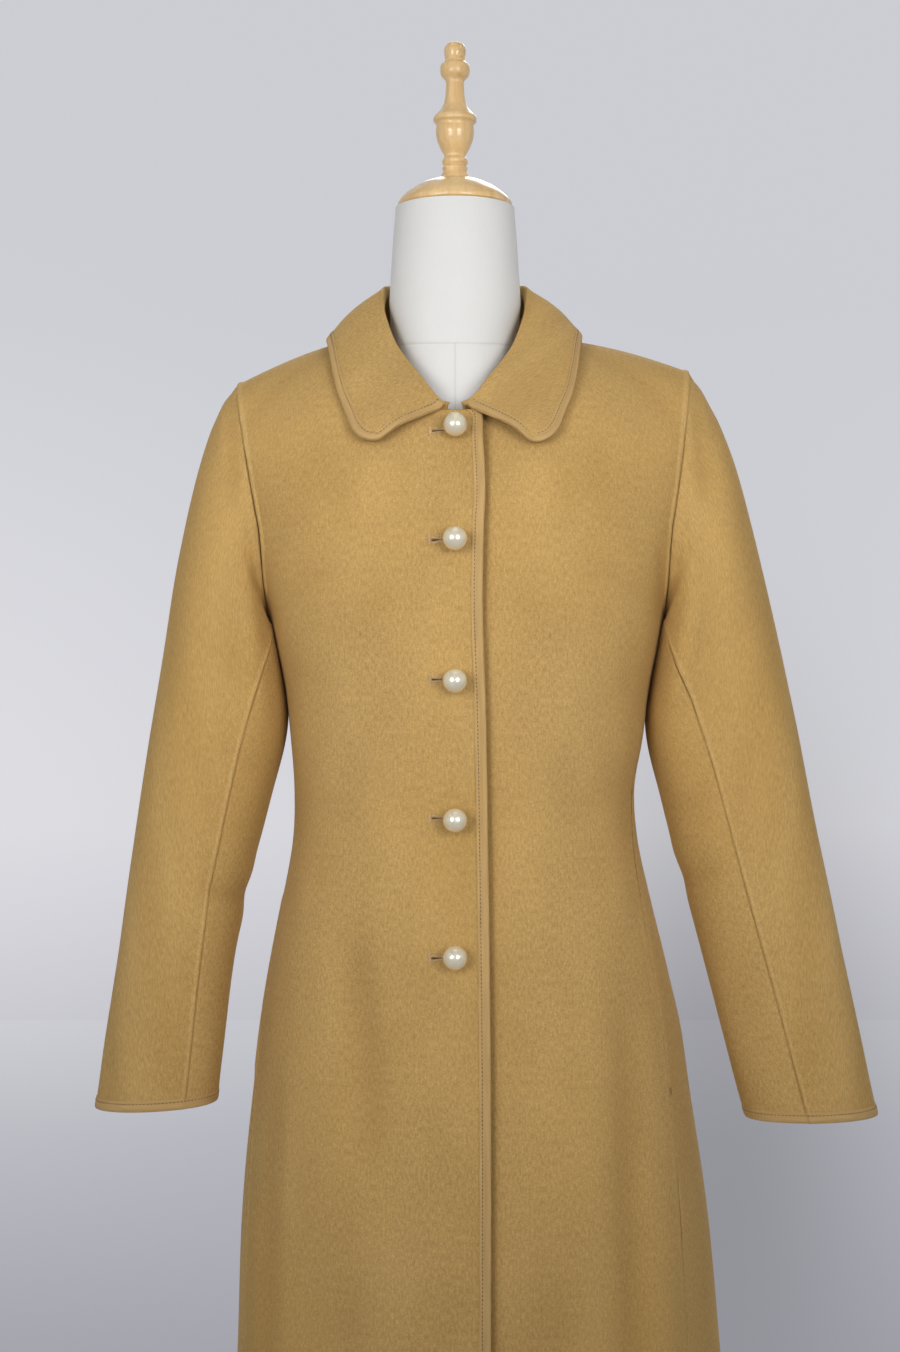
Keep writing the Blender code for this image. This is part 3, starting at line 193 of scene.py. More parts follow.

# %% [markdown]
# ## Studio
# A pale blue-grey backdrop that glows, with painted light on it: it darkens towards the floor as a painted falloff of
# light, and it carries a painted shadow of the coat beside the wearer's left side and a painted pool of light beside
# the right. Three plain walls, a pale floor, and soft light: two lamps in front on either side at collar height, which
# give each pearl its two side lights, a weak one overhead for the wood and one high behind for the back. The front
# lamps have a narrow spread, so the light falls off down the skirt. The walls stand far off, so that a camera can walk
# all the way round the coat inside them. The backdrop runs on over the far floor: both carry that painted light and
# shade by where they lie as seen from in front of the coat.

# %% Studio
WALLS_AT = 4.7
WALLS_HIGH = 8.0
FLOOR_Z = -0.0006
FLOOR_SPLIT = 1.35
EYE_Y, EYE_Z = CAMERA_PLACE[1:]
FADE_FROM = 0.40
LAMPS = (
    ("lamp_right", (-0.95, -1.75, 1.40), 0.75, 2.1, 60.0),
    ("lamp_left", (0.80, -1.80, 1.40), 0.75, 2.1, 60.0),
    ("lamp_top", (0.1, -0.3, 3.2), 1.4, 2.2, 150.0),
    ("lamp_back", (0.3, 2.3, 3.0), 1.2, 3.2, 80.0),
)
AIM = Vector((0.0, 0.0, 1.24))

backdrop_finish = Finish("backdrop_paper", roughness=0.9, emission_strength=1.0, base_color=colour(40, 40, 42))
across, away, height = backdrop_finish.axes(backdrop_finish.on_object())
nearer = -EYE_Y * (away - EYE_Y) ** -1.0
across = across * nearer
height = (height - EYE_Z) * nearer + EYE_Z
# Tones of the glowing backdrop by height: a painted falloff of light, darker towards the floor.
fade = [(0.0, colour(148, 148, 156)), (0.28, colour(174, 174, 182)), (0.55, colour(211, 211, 216)),
        (1.0, colour(202, 203, 208))]
painted_falloff = backdrop_finish.ramp(height - FADE_FROM, fade)


def patch(x, z, wide, high):
    """A soft round patch on the backdrop, 1 at its middle and 0 far from it, for painted shadow and painted light."""
    square = ((across - x) * (1 / wide)) ** 2.0 + ((height - z) * (1 / high)) ** 2.0
    return backdrop_finish.node("ShaderNodeMath", {"operation": "EXPONENT"}, {0: -1.0 * square})


# A painted shadow of the coat on the backdrop, beside the coat on the wearer's left.
painted_shadow_and_light = backdrop_finish.between(0.42 * patch(0.235, 0.72, 0.14, 0.32), painted_falloff, colour(52, 52, 56))
# A painted pool of light on the backdrop, beside the coat on the wearer's right.
painted_shadow_and_light = backdrop_finish.between(0.35 * patch(-0.42, 1.0, 0.22, 0.3), painted_shadow_and_light, colour(232, 231, 236))
backdrop_finish.feed("Emission Color", painted_shadow_and_light)

wall_finish = Finish("wall_paint", roughness=0.9, emission_strength=0.66, base_color=colour(40, 40, 42))
mottle = wall_finish.noise(wall_finish.on_object(), 3.0)
wall_finish.feed("Emission Color", wall_finish.between(mottle, colour(196, 197, 202), colour(202, 203, 208)))

floor_finish = Finish("floor_paper", roughness=0.8)
speckle = floor_finish.noise(floor_finish.on_object(), 40.0)
floor_finish.feed("Base Color", floor_finish.between(speckle, colour(206, 207, 212), colour(214, 215, 220)))


def stage_sheet(name, corners, finish):
    mesh = bpy.data.meshes.new(name)
    mesh.from_pydata(corners, [], [(0, 1, 2, 3)])
    mesh.materials.append(finish.material)
    sheet = bpy.data.objects.new(name, mesh)
    bpy.context.scene.collection.objects.link(sheet)


def upright(start, end):
    """Corners of a wall between two places on the floor."""
    return [(*start, FLOOR_Z), (*end, FLOOR_Z), (*end, WALLS_HIGH), (*start, WALLS_HIGH)]


def level(near, far):
    """Corners of a floor from one depth to another."""
    return [(-WALLS_AT, near, FLOOR_Z), (WALLS_AT, near, FLOOR_Z), (WALLS_AT, far, FLOOR_Z), (-WALLS_AT, far, FLOOR_Z)]


stage_sheet("floor", level(-WALLS_AT, FLOOR_SPLIT), floor_finish)
stage_sheet("floor_behind", level(FLOOR_SPLIT, WALLS_AT), backdrop_finish)
stage_sheet("backdrop", upright((-WALLS_AT, WALLS_AT), (WALLS_AT, WALLS_AT)), backdrop_finish)
stage_sheet("wall_right", upright((-WALLS_AT, -WALLS_AT), (-WALLS_AT, WALLS_AT)), wall_finish)
stage_sheet("wall_left", upright((WALLS_AT, WALLS_AT), (WALLS_AT, -WALLS_AT)), wall_finish)
stage_sheet("wall_front", upright((WALLS_AT, -WALLS_AT), (-WALLS_AT, -WALLS_AT)), wall_finish)

for name, place, size, power, spread in LAMPS:
    lamp = bpy.data.objects.new(name, bpy.data.lights.new(name, "AREA"))
    lamp.data.size = size
    lamp.data.energy = power
    lamp.data.spread = math.radians(spread)
    lamp.location = place
    lamp.rotation_euler = (AIM - Vector(place)).to_track_quat("-Z", "Y").to_euler()
    bpy.context.scene.collection.objects.link(lamp)

world = bpy.data.worlds.new("studio")
world.use_nodes = True
world.node_tree.nodes["Background"].inputs["Color"].default_value = colour(226, 229, 236)
world.node_tree.nodes["Background"].inputs["Strength"].default_value = 0.25
bpy.context.scene.world = world
bpy.context.scene.view_settings.view_transform = "Standard"
print("lamps:", len(LAMPS))

# %% [markdown]
# ## Wool
# Double-faced wool has no shine and no visible weave: it is brushed, so a short nap lies downwards over it.
# Long thin noise along the cloth's own length makes that nap, a finer one makes the felted grain, and a broad one
# makes the slight cloudiness of brushed wool. Sheen on the shader lights the fuzz where the cloth turns away.
# Each piece also carries a value of painted shading: welts and crease ridges are paler as a painted highlight, and
# seam grooves, crease troughs and the strip beside the lapped edge are darker as painted shade.

# %% Wool finish
wool = Finish("camel_wool", roughness=0.92, sheen_weight=0.22, sheen_roughness=0.42,
              sheen_tint=colour(255, 226, 176), specular_ior_level=0.18)
cloth = wool.on_cloth()
cloud = wool.noise(cloth, (16.0, 9.0, 1.0), detail=3.0)
nap = wool.noise(cloth, (520.0, 190.0, 1.0), detail=3.0, roughness=0.6)
grain = wool.noise(cloth, (900.0, 620.0, 1.0), detail=2.0, roughness=0.6)
lightness = 0.20 * cloud + 0.42 * nap + 0.38 * grain
lit = wool.ranged(lightness, 0.36, 0.64)
brushed = wool.between(lit, colour(160, 128, 74), colour(206, 169, 106))
golden = wool.ranged(wool.noise(cloth, (4.6, 3.0, 1.0)), 0.40, 0.66)
brushed = wool.between(0.22 * golden, brushed, colour(184, 140, 62))
# Painted shading from the cloth's relief: above 0 a painted highlight, below 0 painted shade.
painted_shading = wool.node("ShaderNodeAttribute", {"attribute_name": "painted_shading"}, output=2)
painted_highlight = painted_shading.maths("MAXIMUM", painted_shading, 0.0)
painted_shade = painted_shading.maths("MAXIMUM", -1.0 * painted_shading, 0.0)
brushed = wool.between(0.25 * painted_highlight, brushed, colour(222, 190, 132))
wool.feed("Base Color", wool.between(0.45 * painted_shade, brushed, colour(112, 76, 28)))
wool.feed("Roughness", 0.84 + 0.14 * nap)
fuzz = wool.bump(0.55 * grain + 0.45 * nap, 0.0006, 0.55)
wool.feed("Normal", wool.bump(cloud, 0.004, 0.15, under=fuzz))
print("wool finish made")

# %% [markdown]
# ## Bindings, thread and pearls
# The edges are bound in a smooth woven strip, a little redder than the wool and not brushed, so its fine
# diagonal ribs show close to. The sewing thread is a darker brown than the strip, and that dark tone is partly painted
# shade, standing in for the shadow of the stitch line. The buttonhole twist is close to the strip in colour. The pearls
# are coated balls: a pale body under a clear, glossy coat, with the faint clouding of a pearly lacquer.

# %% Trim finishes
binding = Finish("binding_weave", roughness=0.7, sheen_weight=0.12, sheen_roughness=0.4,
                 sheen_tint=colour(255, 222, 170), specular_ior_level=0.3)
strip = binding.on_cloth()
slanted = binding.node("ShaderNodeMapping", None, {"Vector": strip, "Rotation": (0.0, 0.0, 0.6)})
ribs = binding.node("ShaderNodeTexWave", {"wave_type": "BANDS"},
                    {"Vector": slanted, "Scale": 420.0, "Distortion": 1.2}, output=1)
tired = binding.noise(strip, (300.0, 22.0, 1.0), detail=3.0)
shade = binding.ranged(0.35 * ribs + 0.65 * tired, 0.25, 0.75)
binding.feed("Base Color", binding.between(shade, colour(174, 140, 87), colour(206, 170, 111)))
binding.feed("Roughness", 0.62 + 0.2 * tired)
binding.feed("Normal", binding.bump(ribs, 0.0003, 0.5))

# Dark brown thread: its darkness is partly painted shade of the stitch line.
thread = Finish("sewing_thread", roughness=0.55, sheen_weight=0.2, specular_ior_level=0.4)
twist = thread.noise(thread.on_object(), 1800.0)
thread.feed("Base Color", thread.between(twist, colour(92, 62, 28), colour(134, 98, 52)))
purl = Finish("buttonhole_twist", roughness=0.5, sheen_weight=0.2, specular_ior_level=0.4)
strands = purl.noise(purl.on_object(), 1500.0)
purl.feed("Base Color", purl.between(strands, colour(180, 143, 94), colour(220, 186, 138)))

pearl = Finish("pearl_lacquer", roughness=0.2, coat_roughness=0.05, coat_ior=1.55, specular_ior_level=0.6,
               metallic=0.5, coat_tint=colour(254, 242, 208))
ball = pearl.on_object()
clouding = pearl.noise(ball, 160.0, detail=3.0)
pearl.feed("Base Color", pearl.between(clouding, colour(240, 240, 241), colour(251, 251, 252)))
pearl.feed("Roughness", 0.16 + 0.12 * clouding)
pearl.feed("Coat Weight", 0.75 + 0.2 * clouding)
print("trim finishes made")

# %% [markdown]
# ## Form cover and varnished wood
# The form is covered in a tight off-white jersey: almost plain, with the finest knit and a little soiling.
# A fine darker line marks where its pieces are sewn together.
# The cap and the finial are pale turned wood under a clear varnish. Turned wood shows its grain as long streaks up
# the axis, so the noise is stretched along Z, and the varnish is a coat over the colour.

# %% Form finishes
NECK_SEAM_Z, NECK_SEAM_LEAN, NECK_SEAM_Y = 1.361, 0.10, -0.06
SEAM_LINE = 0.0008


class Cover(Finish):
    """The form's cover, with a fine dark line where its pieces are sewn together."""

    def seam_lines(self, place):
        x, y, z = self.axes(place)
        level = z - NECK_SEAM_Z - NECK_SEAM_LEAN * (y - NECK_SEAM_Y)
        below, before = (value.maths("LESS_THAN", value, 0.0) for value in (level, y))
        ring, down = ((1.0 + (away * (1 / SEAM_LINE)) ** 2) ** -2 for away in (level, x))
        return ring + down * below * before


cover = Cover("form_cover", roughness=0.75, specular_ior_level=0.25, sheen_weight=0.1)
around = cover.on_object()
soil = cover.noise(around, 14.0, detail=3.0)
knit = cover.noise(around, (900.0, 900.0, 500.0), detail=1.0)
seam_mark = cover.seam_lines(around)
clean = cover.between(0.7 * soil + 0.3 * knit, colour(216, 215, 211), colour(228, 227, 224))
cover.feed("Base Color", cover.between(0.30 * seam_mark, clean, colour(168, 164, 156)))
cover.feed("Normal", cover.bump(knit, 0.0003, 0.35))

wood = Finish("varnished_wood", roughness=0.42, coat_roughness=0.07, coat_ior=1.5)
turning = wood.on_object()
streaks = wood.noise(turning, (150.0, 150.0, 9.0), detail=4.0, roughness=0.6)
pores = wood.noise(turning, (900.0, 900.0, 45.0), detail=2.0)
broad = wood.noise(turning, (36.0, 36.0, 7.0), detail=2.0)
grain_tone = wood.ranged(0.45 * streaks + 0.2 * pores + 0.35 * broad, 0.3, 0.7)
wood.feed("Base Color", wood.between(grain_tone, colour(208, 163, 97), colour(244, 212, 154)))
wood.feed("Roughness", 0.34 + 0.2 * pores)
wood.feed("Coat Weight", 0.55 + 0.3 * broad)
wood.feed("Normal", wood.bump(pores, 0.0002, 0.3))
print("form finishes made")

# %% [markdown]
# ## The coat's cut, in tables
# The solids come from level sections of the body, an upright armhole ring and sleeve rings. The same tables are
# repeated here, so that a fine cloth surface can be worked out on exactly the form of each solid.
# Only the lines of the sleeves' two seams are drawn anew, as the photograph shows them.
# Reading the solids' triangles would be shorter, but their facets would show through the smooth wool.

# %% Cut tables
RIGHT, LEFT = -1, 1
SIDES = ((RIGHT, "right"), (LEFT, "left"))
SIDE_NAMES = dict(SIDES)


def table(columns, *rows):
    """A short table as one array per named column."""
    return {name: np.array([row[i] for row in rows]) for i, name in enumerate(columns.split())}


CLOTH = 0.0025
SEAM_GAP = 0.0001
HEM_Z = 0.330
ARMPIT_Z = 1.130
STRETCH_Z = 1.010
SQUARENESS = 2.3
FOLD_GROWTH = 1.4
BODY = table(
    "height half_width front back shift",
    (0.330, 0.218, 0.168, 0.172, 0.0230),
    (0.492, 0.208, 0.158, 0.160, 0.0213),
    (0.624, 0.199, 0.150, 0.150, 0.0187),
    (0.711, 0.189, 0.144, 0.143, 0.0170),
    (0.798, 0.177, 0.137, 0.135, 0.0160),
    (0.842, 0.166, 0.131, 0.127, 0.0130),
    (0.885, 0.155, 0.124, 0.117, 0.0104),
    (0.946, 0.146, 0.116, 0.104, 0.0080),
    (0.981, 0.147, 0.118, 0.103, 0.0090),
    (1.024, 0.153, 0.122, 0.106, 0.0107),
    (1.075, 0.160, 0.127, 0.112, 0.0105),
    (1.130, 0.1700, 0.129, 0.118, 0.0100),
    (1.160, 0.1787, 0.128, 0.118, 0.0094),
    (1.210, 0.1920, 0.124, 0.116, 0.0084),
)
FOLDS = table(
    "angle width depth start",
    (-66.0, 13.0, 0.0060, 0.80),
    (-38.0, 12.0, -0.0060, 0.92),
    (40.0, 13.0, 0.0050, 0.86),
    (66.0, 12.0, -0.0065, 0.84),
    (112.0, 16.0, 0.0100, 0.84),
    (142.0, 15.0, -0.0110, 0.88),
    (172.0, 14.0, 0.0110, 0.86),
    (202.0, 15.0, -0.0100, 0.90),
    (232.0, 16.0, 0.0100, 0.84),
    (258.0, 13.0, -0.0070, 0.80),
)
SIDE_SEAM = table(
    "height right left",
    (0.330, 66.0, 52.0),
    (0.510, 68.0, 53.0),
    (0.680, 74.0, 57.0),
    (0.800, 84.0, 61.0),
    (0.890, 88.0, 67.0),
    (1.000, 90.0, 79.0),
    (1.130, 90.0, 90.0),
)
print("body sections:", len(BODY["height"]), "skirt folds:", len(FOLDS["angle"]))

# %% [markdown]
# ## Body sections
# A section is a rounded square, deeper in front than behind, pushed in and out by the skirt's folds.
# Angles count from the centre front towards the wearer's left.


# %% Body shape
def curve(knots, values):
    """A smooth line through the values, held at its two ends."""
    slopes = np.gradient(values, knots, axis=0)

    def at(x):
        x = np.clip(x, knots[0], knots[-1])
        i = np.clip(np.searchsorted(knots, x) - 1, 0, len(knots) - 2)
        step = knots[i + 1] - knots[i]
        t = (x - knots[i]) / step
        if values.ndim > 1:
            lift = (...,) + (None,) * (values.ndim - 1)
            step, t = step[lift], t[lift]
        start = values[i] * (1 + 2 * t) + slopes[i] * step * t
        end = values[i + 1] * (3 - 2 * t) + slopes[i + 1] * step * (t - 1)
        return start * (1 - t) ** 2 + end * t ** 2

    return at


def curves(rows, key):
    return {name: curve(rows[key], rows[name]) for name in rows if name != key}


def smooth(t):
    t = np.clip(t, 0.0, 1.0)
    return t * t * (3 - 2 * t)


def signed_power(value, power):
    return np.sign(value) * np.abs(value) ** power


def unit(vectors):
    return vectors / np.linalg.norm(vectors, axis=-1, keepdims=True)


def mix(a, b, t):
    return a + (b - a) * t


def hermite(start, end, leave, arrive, t):
    ahead = (1 + 2 * t) * (1 - t) ** 2
    return ahead * start + (1 - ahead) * end + t * (1 - t) ** 2 * leave - t ** 2 * (1 - t) * arrive


body_size = curves(BODY, "height")
seam_angle = curves(SIDE_SEAM, "height")


def fold_push(angle, height):
    """How far the skirt's folds push a point out of the plain section."""
    push = np.zeros(np.broadcast(angle, height).shape)
    for middle, width, depth, start in zip(*(FOLDS[name] for name in ("angle", "width", "depth", "start"))):
        away = (np.degrees(angle) - middle + 180.0) % 360.0 - 180.0
        fall = np.clip((start - height) / (start - HEM_Z), 0.0, 1.0) ** FOLD_GROWTH
        push = push + depth * fall * np.exp(-((away / width) ** 2))
    return push


def body_point(angle, height):
    """A point of the body's outer face."""
    angle, height = np.broadcast_arrays(np.asarray(angle, float), np.asarray(height, float))
    power = 2.0 / SQUARENESS
    depth = np.where(np.cos(angle) > 0, body_size["front"](height), body_size["back"](height))
    x = body_size["half_width"](height) * signed_power(np.sin(angle), power)
    y = -depth * signed_power(np.cos(angle), power)
    grow = 1 + fold_push(angle, height) / np.hypot(x, y)
    return np.stack([body_size["shift"](height) + x * grow, y * grow, height], axis=-1)


def angle_at(x, height):
    """The angle where the front crosses a given x."""
    share = (x - body_size["shift"](height)) / body_size["half_width"](height)
    return np.arcsin(signed_power(share, SQUARENESS / 2.0))


def side_angle(side, height):
    return side * np.radians(seam_angle[SIDE_NAMES[side]](height))


def front_angle(u, height):
    """Angle of a front column: u is 0 at the centre front, -1 and 1 at the side seams."""
    middle = angle_at(0.0, height)
    end = np.where(u < 0, side_angle(RIGHT, height), side_angle(LEFT, height))
    return middle + np.abs(u) * (end - middle)


def back_angle(u, height):
    """Angle of a back column: u is 0 at the centre back, -1 and 1 at the side seams."""
    right = 2 * math.pi + side_angle(RIGHT, height)
    left = side_angle(LEFT, height)
    return math.pi + np.abs(u) * (np.where(u < 0, right, left) - math.pi)


print("waist:", round(2 * float(body_size["half_width"](0.946)), 3), "m wide")

# %% [markdown]
# ## Armholes and sleeves
# The armhole is an upright ring: its lower part lies on the body's sections and its upper part rises to the
# shoulder tip. The sleeve starts on that ring and changes into plain rings further down, and its two seams swing
# forward and back as they go down to the cuff.

# %% Sleeve shape
SHOULDER_HALF = 0.196
SHOULDER_SHIFT = 0.007
SHOULDER_Z = 1.3370
SHOULDER_TILT = 0.0055
SHOULDER_ROUND = 0.004
SHOULDER_SLOPE = 0.31
ARMHOLE_MID_Z = 1.2335
ARMHOLE_FRONT, ARMHOLE_BACK = 0.0625, 0.0600
ARMHOLE_ROUND = 0.92
YOKE_TURN = 105.0
HEAD_SECTIONS = 2.5
SLEEVE_COLUMNS = "outer_x outer_z inner_x inner_z half_depth forward"
SLEEVE_ROWS = {
    RIGHT: table(
        SLEEVE_COLUMNS,
        (0.2050, 1.3000, 0.1640, 1.1220, 0.0655, 0.000),
        (0.2215, 1.2500, 0.1600, 1.1000, 0.0665, 0.001),
        (0.2350, 1.1880, 0.1545, 1.0700, 0.0650, 0.003),
        (0.2470, 1.1050, 0.1510, 1.0350, 0.0615, 0.005),
        (0.2630, 1.0180, 0.1570, 0.9850, 0.0570, 0.008),
        (0.2800, 0.9200, 0.1750, 0.9120, 0.0515, 0.012),
        (0.2930, 0.8330, 0.1900, 0.8350, 0.0470, 0.018),
        (0.3045, 0.7546, 0.1985, 0.7600, 0.0430, 0.024),
        (0.3106, 0.7130, 0.2030, 0.7180, 0.0410, 0.027),
    ),
    LEFT: table(
        SLEEVE_COLUMNS,
        (0.2200, 1.3060, 0.1850, 1.1210, 0.0655, 0.000),
        (0.2360, 1.2620, 0.1835, 1.1000, 0.0665, 0.001),
        (0.2505, 1.2050, 0.1785, 1.0700, 0.0650, 0.003),
        (0.2650, 1.1370, 0.1720, 1.0350, 0.0605, 0.005),
        (0.2850, 1.0430, 0.1760, 0.9850, 0.0555, 0.008),
        (0.3050, 0.9460, 0.1950, 0.9120, 0.0490, 0.012),
        (0.3260, 0.8590, 0.2145, 0.8350, 0.0440, 0.018),
        (0.3450, 0.7810, 0.2345, 0.7570, 0.0405, 0.024),
        (0.3637, 0.7070, 0.2490, 0.7040, 0.0380, 0.027),
    ),
}
ARMHOLE_FRONT_SEAM, ARMHOLE_BACK_SEAM = 165.0, 240.0
SLEEVE_SEAMS = table(
    "row right_front left_front back",
    (0.0, 165.0, 165.0, 240.0),
    (1.0, 160.0, 156.0, 241.0),
    (2.0, 148.0, 142.5, 242.0),
    (3.0, 133.0, 128.5, 244.0),
    (4.0, 121.5, 116.0, 246.0),
    (5.0, 116.5, 106.0, 248.0),
    (6.0, 117.5, 103.0, 249.0),
    (7.0, 122.0, 101.0, 250.0),
    (9.0, 124.0, 100.0, 252.0),
)


def shoulder_tip(side):
    return np.array([side * SHOULDER_HALF + SHOULDER_SHIFT, 0.0, SHOULDER_Z + side * SHOULDER_TILT])


def armhole_height(side, turn):
    reach = np.where(np.cos(turn) > 0, shoulder_tip(side)[2] - ARMHOLE_MID_Z, ARMHOLE_MID_Z - ARMPIT_Z)
    return ARMHOLE_MID_Z + reach * np.cos(turn)


def armhole_depth(turn):
    """How far the armhole stands before (+) or behind (-) the shoulder line."""
    depth = np.where(np.sin(turn) > 0, ARMHOLE_FRONT, ARMHOLE_BACK)
    return depth * signed_power(np.sin(turn), ARMHOLE_ROUND)


def section_angle(side, turn):
    """Angle on the body's section that the armhole passes at some turn."""
    height = armhole_height(side, turn)
    ahead = armhole_depth(turn)
    depth = np.where(ahead > 0, body_size["front"](height), body_size["back"](height))
    return side * np.arccos(np.clip(signed_power(ahead / depth, SQUARENESS / 2.0), -1.0, 1.0))


YOKE_Z = float(armhole_height(LEFT, np.radians(YOKE_TURN)))


def armhole_point(side, turn):
    """The armhole seam: on the body's sections below, then straight up to the shoulder."""
    turn = np.asarray(turn, float)
    height = armhole_height(side, turn)
    low = body_point(section_angle(side, turn), np.minimum(height, YOKE_Z))
    leaving = np.where(np.sin(turn) > 0, 1.0, -1.0) * np.radians(YOKE_TURN)
    corner = body_point(section_angle(side, leaving), YOKE_Z)
    tip = shoulder_tip(side)
    x = mix(corner[..., 0], tip[0], (height - YOKE_Z) / (tip[2] - YOKE_Z))
    x = np.where(height > YOKE_Z + 1e-9, x, low[..., 0])
    return np.stack([x, -armhole_depth(turn), height], axis=-1)


def sleeve_sections(side):
    """The sleeve's table with the armhole as its first row."""
    tip = shoulder_tip(side)
    armpit = armhole_point(side, math.pi)
    armhole = {
        "outer_x": side * tip[0],
        "outer_z": tip[2],
        "inner_x": side * armpit[0],
        "inner_z": armpit[2],
        "half_depth": ARMHOLE_FRONT,
        "forward": 0.0,
    }
    rows = {name: np.concatenate([[armhole[name]], column]) for name, column in SLEEVE_ROWS[side].items()}
    rows["row"] = np.arange(len(rows["outer_x"]), dtype=float)
    return rows


sleeve_size = {side: curves(sleeve_sections(side), "row") for side, _ in SIDES}
sleeve_seams = curves(SLEEVE_SEAMS, "row")
LAST_SECTION = float(len(SLEEVE_ROWS[RIGHT]["outer_x"]))


def sleeve_ring(side, turn, row):
    size = {name: line(row) for name, line in sleeve_size[side].items()}
    share = (1 + np.cos(turn)) / 2
    x = mix(size["inner_x"], size["outer_x"], share)
    z = mix(size["inner_z"], size["outer_z"], share)
    y = -size["forward"] - size["half_depth"] * signed_power(np.sin(turn), ARMHOLE_ROUND)
    return np.stack(np.broadcast_arrays(side * x, y, z), axis=-1)


def sleeve_point(side, turn, row):
    """A point of the sleeve's outer face: the armhole first, then plain rings."""
    start = armhole_point(side, turn) - sleeve_ring(side, turn, np.zeros_like(row))
    return sleeve_ring(side, turn, row) + start * (1 - smooth(row / HEAD_SECTIONS))[..., None]


def sleeve_turn(side, degrees, row):
    """Where a column that starts at the armhole at some turn lies further down, as the seams swing."""
    front = sleeve_seams[SIDE_NAMES[side] + "_front"](row)
    back = sleeve_seams["back"](row)
    start = ARMHOLE_BACK_SEAM - 360.0
    top = np.where(degrees > ARMHOLE_BACK_SEAM, degrees - 360.0, degrees)
    over = (top - start) / (ARMHOLE_FRONT_SEAM - start)
    under = (degrees - ARMHOLE_FRONT_SEAM) / (ARMHOLE_BACK_SEAM - ARMHOLE_FRONT_SEAM)
    beneath = (degrees > ARMHOLE_FRONT_SEAM) & (degrees <= ARMHOLE_BACK_SEAM)
    return np.radians(np.where(beneath, mix(front, back, under), mix(back - 360.0, front, over)))


print("armhole corner at", round(YOKE_Z, 3), "m")

# %% [markdown]
# ## Yoke
# Above the armpits the cloth leaves the level sections and curves over to the neckline and the shoulder seams.
# Each column there is one smooth curve that starts in the direction of the chest and arrives in the direction
# of the shoulder.

# %% Yoke shape
NECK_HALF = 0.076
NECK_FRONT_Y, NECK_FRONT_Z = -0.092, 1.2985
NECK_SIDE_Y, NECK_SIDE_Z = 0.012, 1.3770
NECK_BACK_Y, NECK_BACK_Z = 0.072, 1.3870
NECK_SHARE = 0.5
YOKE_SLANT = 0.45
YOKE_SOFT = (-0.20, -0.12, -0.06, 0.0, 0.06, 0.12, 0.20)
SOFT_UNTIL, SOFT_OVER = 0.45, 0.55
PULL_FROM, PULL_OVER = 0.35, 0.65
YOKE_STEP = 0.002


def neck_curve(turn, middle_y, middle_z):
    """Half the neckline: turn is 0 at the centre and a quarter turn at the shoulder seam."""
    y, z = mix(NECK_SIDE_Y, middle_y, np.cos(turn)), mix(NECK_SIDE_Z, middle_z, np.cos(turn))
    return np.stack([NECK_HALF * np.sin(turn), y, z], axis=-1)


def front_neck(turn):
    return neck_curve(turn, NECK_FRONT_Y, NECK_FRONT_Z)


def back_neck(turn):
    return neck_curve(turn, NECK_BACK_Y, NECK_BACK_Z)


def shoulder_line(side, share):
    """The shoulder seam from the neck to the sleeve."""
    neck = front_neck(side * math.pi / 2)
    line = mix(neck, shoulder_tip(side), share[..., None])
    line[..., 2] += SHOULDER_ROUND * np.sin(math.pi * share)
    return line


def yoke_top(v, neckline, lean):
    """Upper boundary of the yoke and the direction in which the cloth arrives there."""
    size = np.abs(v)
    turn = np.sign(v) * np.minimum(size / NECK_SHARE, 1.0) * math.pi / 2
    share = np.clip((size - NECK_SHARE) / (1 - NECK_SHARE), 0.0, 1.0)
    on_shoulder = np.where((v < 0)[..., None], shoulder_line(RIGHT, share), shoulder_line(LEFT, share))
    top = np.where((size <= NECK_SHARE)[..., None], neckline(turn), on_shoulder)
    level = np.array([0.0, math.copysign(1.0, lean[1]), 0.0])
    arrive = mix(np.array(lean), level, (np.abs(np.sin(turn)) ** 1.5)[..., None])
    slant = (np.sin(turn) ** 2 * (1 - share))[..., None]
    inward = np.stack([-np.sign(v) * YOKE_SLANT, 0 * v, 0 * v + YOKE_SLANT * SHOULDER_SLOPE], axis=-1)
    return top, unit(arrive + slant * inward)


def plain_yoke(v, rise, panel):
    """Columns that curve from the chest to the neckline or the shoulder: v is -1 and 1 at the armholes."""
    to_angle, corner, neckline, lean = panel
    u = v * np.where(v < 0, corner[RIGHT], corner[LEFT])
    start = body_point(to_angle(u, YOKE_Z), YOKE_Z)
    below = YOKE_Z - YOKE_STEP
    leave = unit(start - body_point(to_angle(u, below), below))
    end, arrive = yoke_top(v, neckline, lean)
    soft = sum(yoke_top(np.clip(v + step, -1, 1), neckline, lean)[0] for step in YOKE_SOFT) / len(YOKE_SOFT)
    end = mix(soft, end, smooth((rise - SOFT_UNTIL) / SOFT_OVER)[..., None])
    length = np.linalg.norm(end - start, axis=-1, keepdims=True)
    return hermite(start, end, leave * length, arrive * length, rise[..., None])


def yoke_point(v, turn, panel):
    """A point above the armpits, at the height that the armhole has at some turn."""
    v, turn = np.broadcast_arrays(np.asarray(v, float), np.asarray(turn, float))
    top = np.where(v < 0, shoulder_tip(RIGHT)[2], shoulder_tip(LEFT)[2])
    height = np.where(v < 0, armhole_height(RIGHT, turn), armhole_height(LEFT, turn))
    rise = (height - YOKE_Z) / (top - YOKE_Z)
    armhole = np.where((v < 0)[..., None], armhole_point(RIGHT, turn), armhole_point(LEFT, turn))
    edge = plain_yoke(np.where(v < 0, -1.0, 1.0), rise, panel)
    near = smooth((np.abs(v) - PULL_FROM) / PULL_OVER)[..., None]
    return plain_yoke(v, rise, panel) + near * (armhole - edge)


def front_share(side, turn):
    """The u of the front column that meets the armhole at some turn."""
    height = armhole_height(side, turn)
    middle = angle_at(0.0, height)
    return (section_angle(side, turn) - middle) / (side_angle(side, height) - middle)


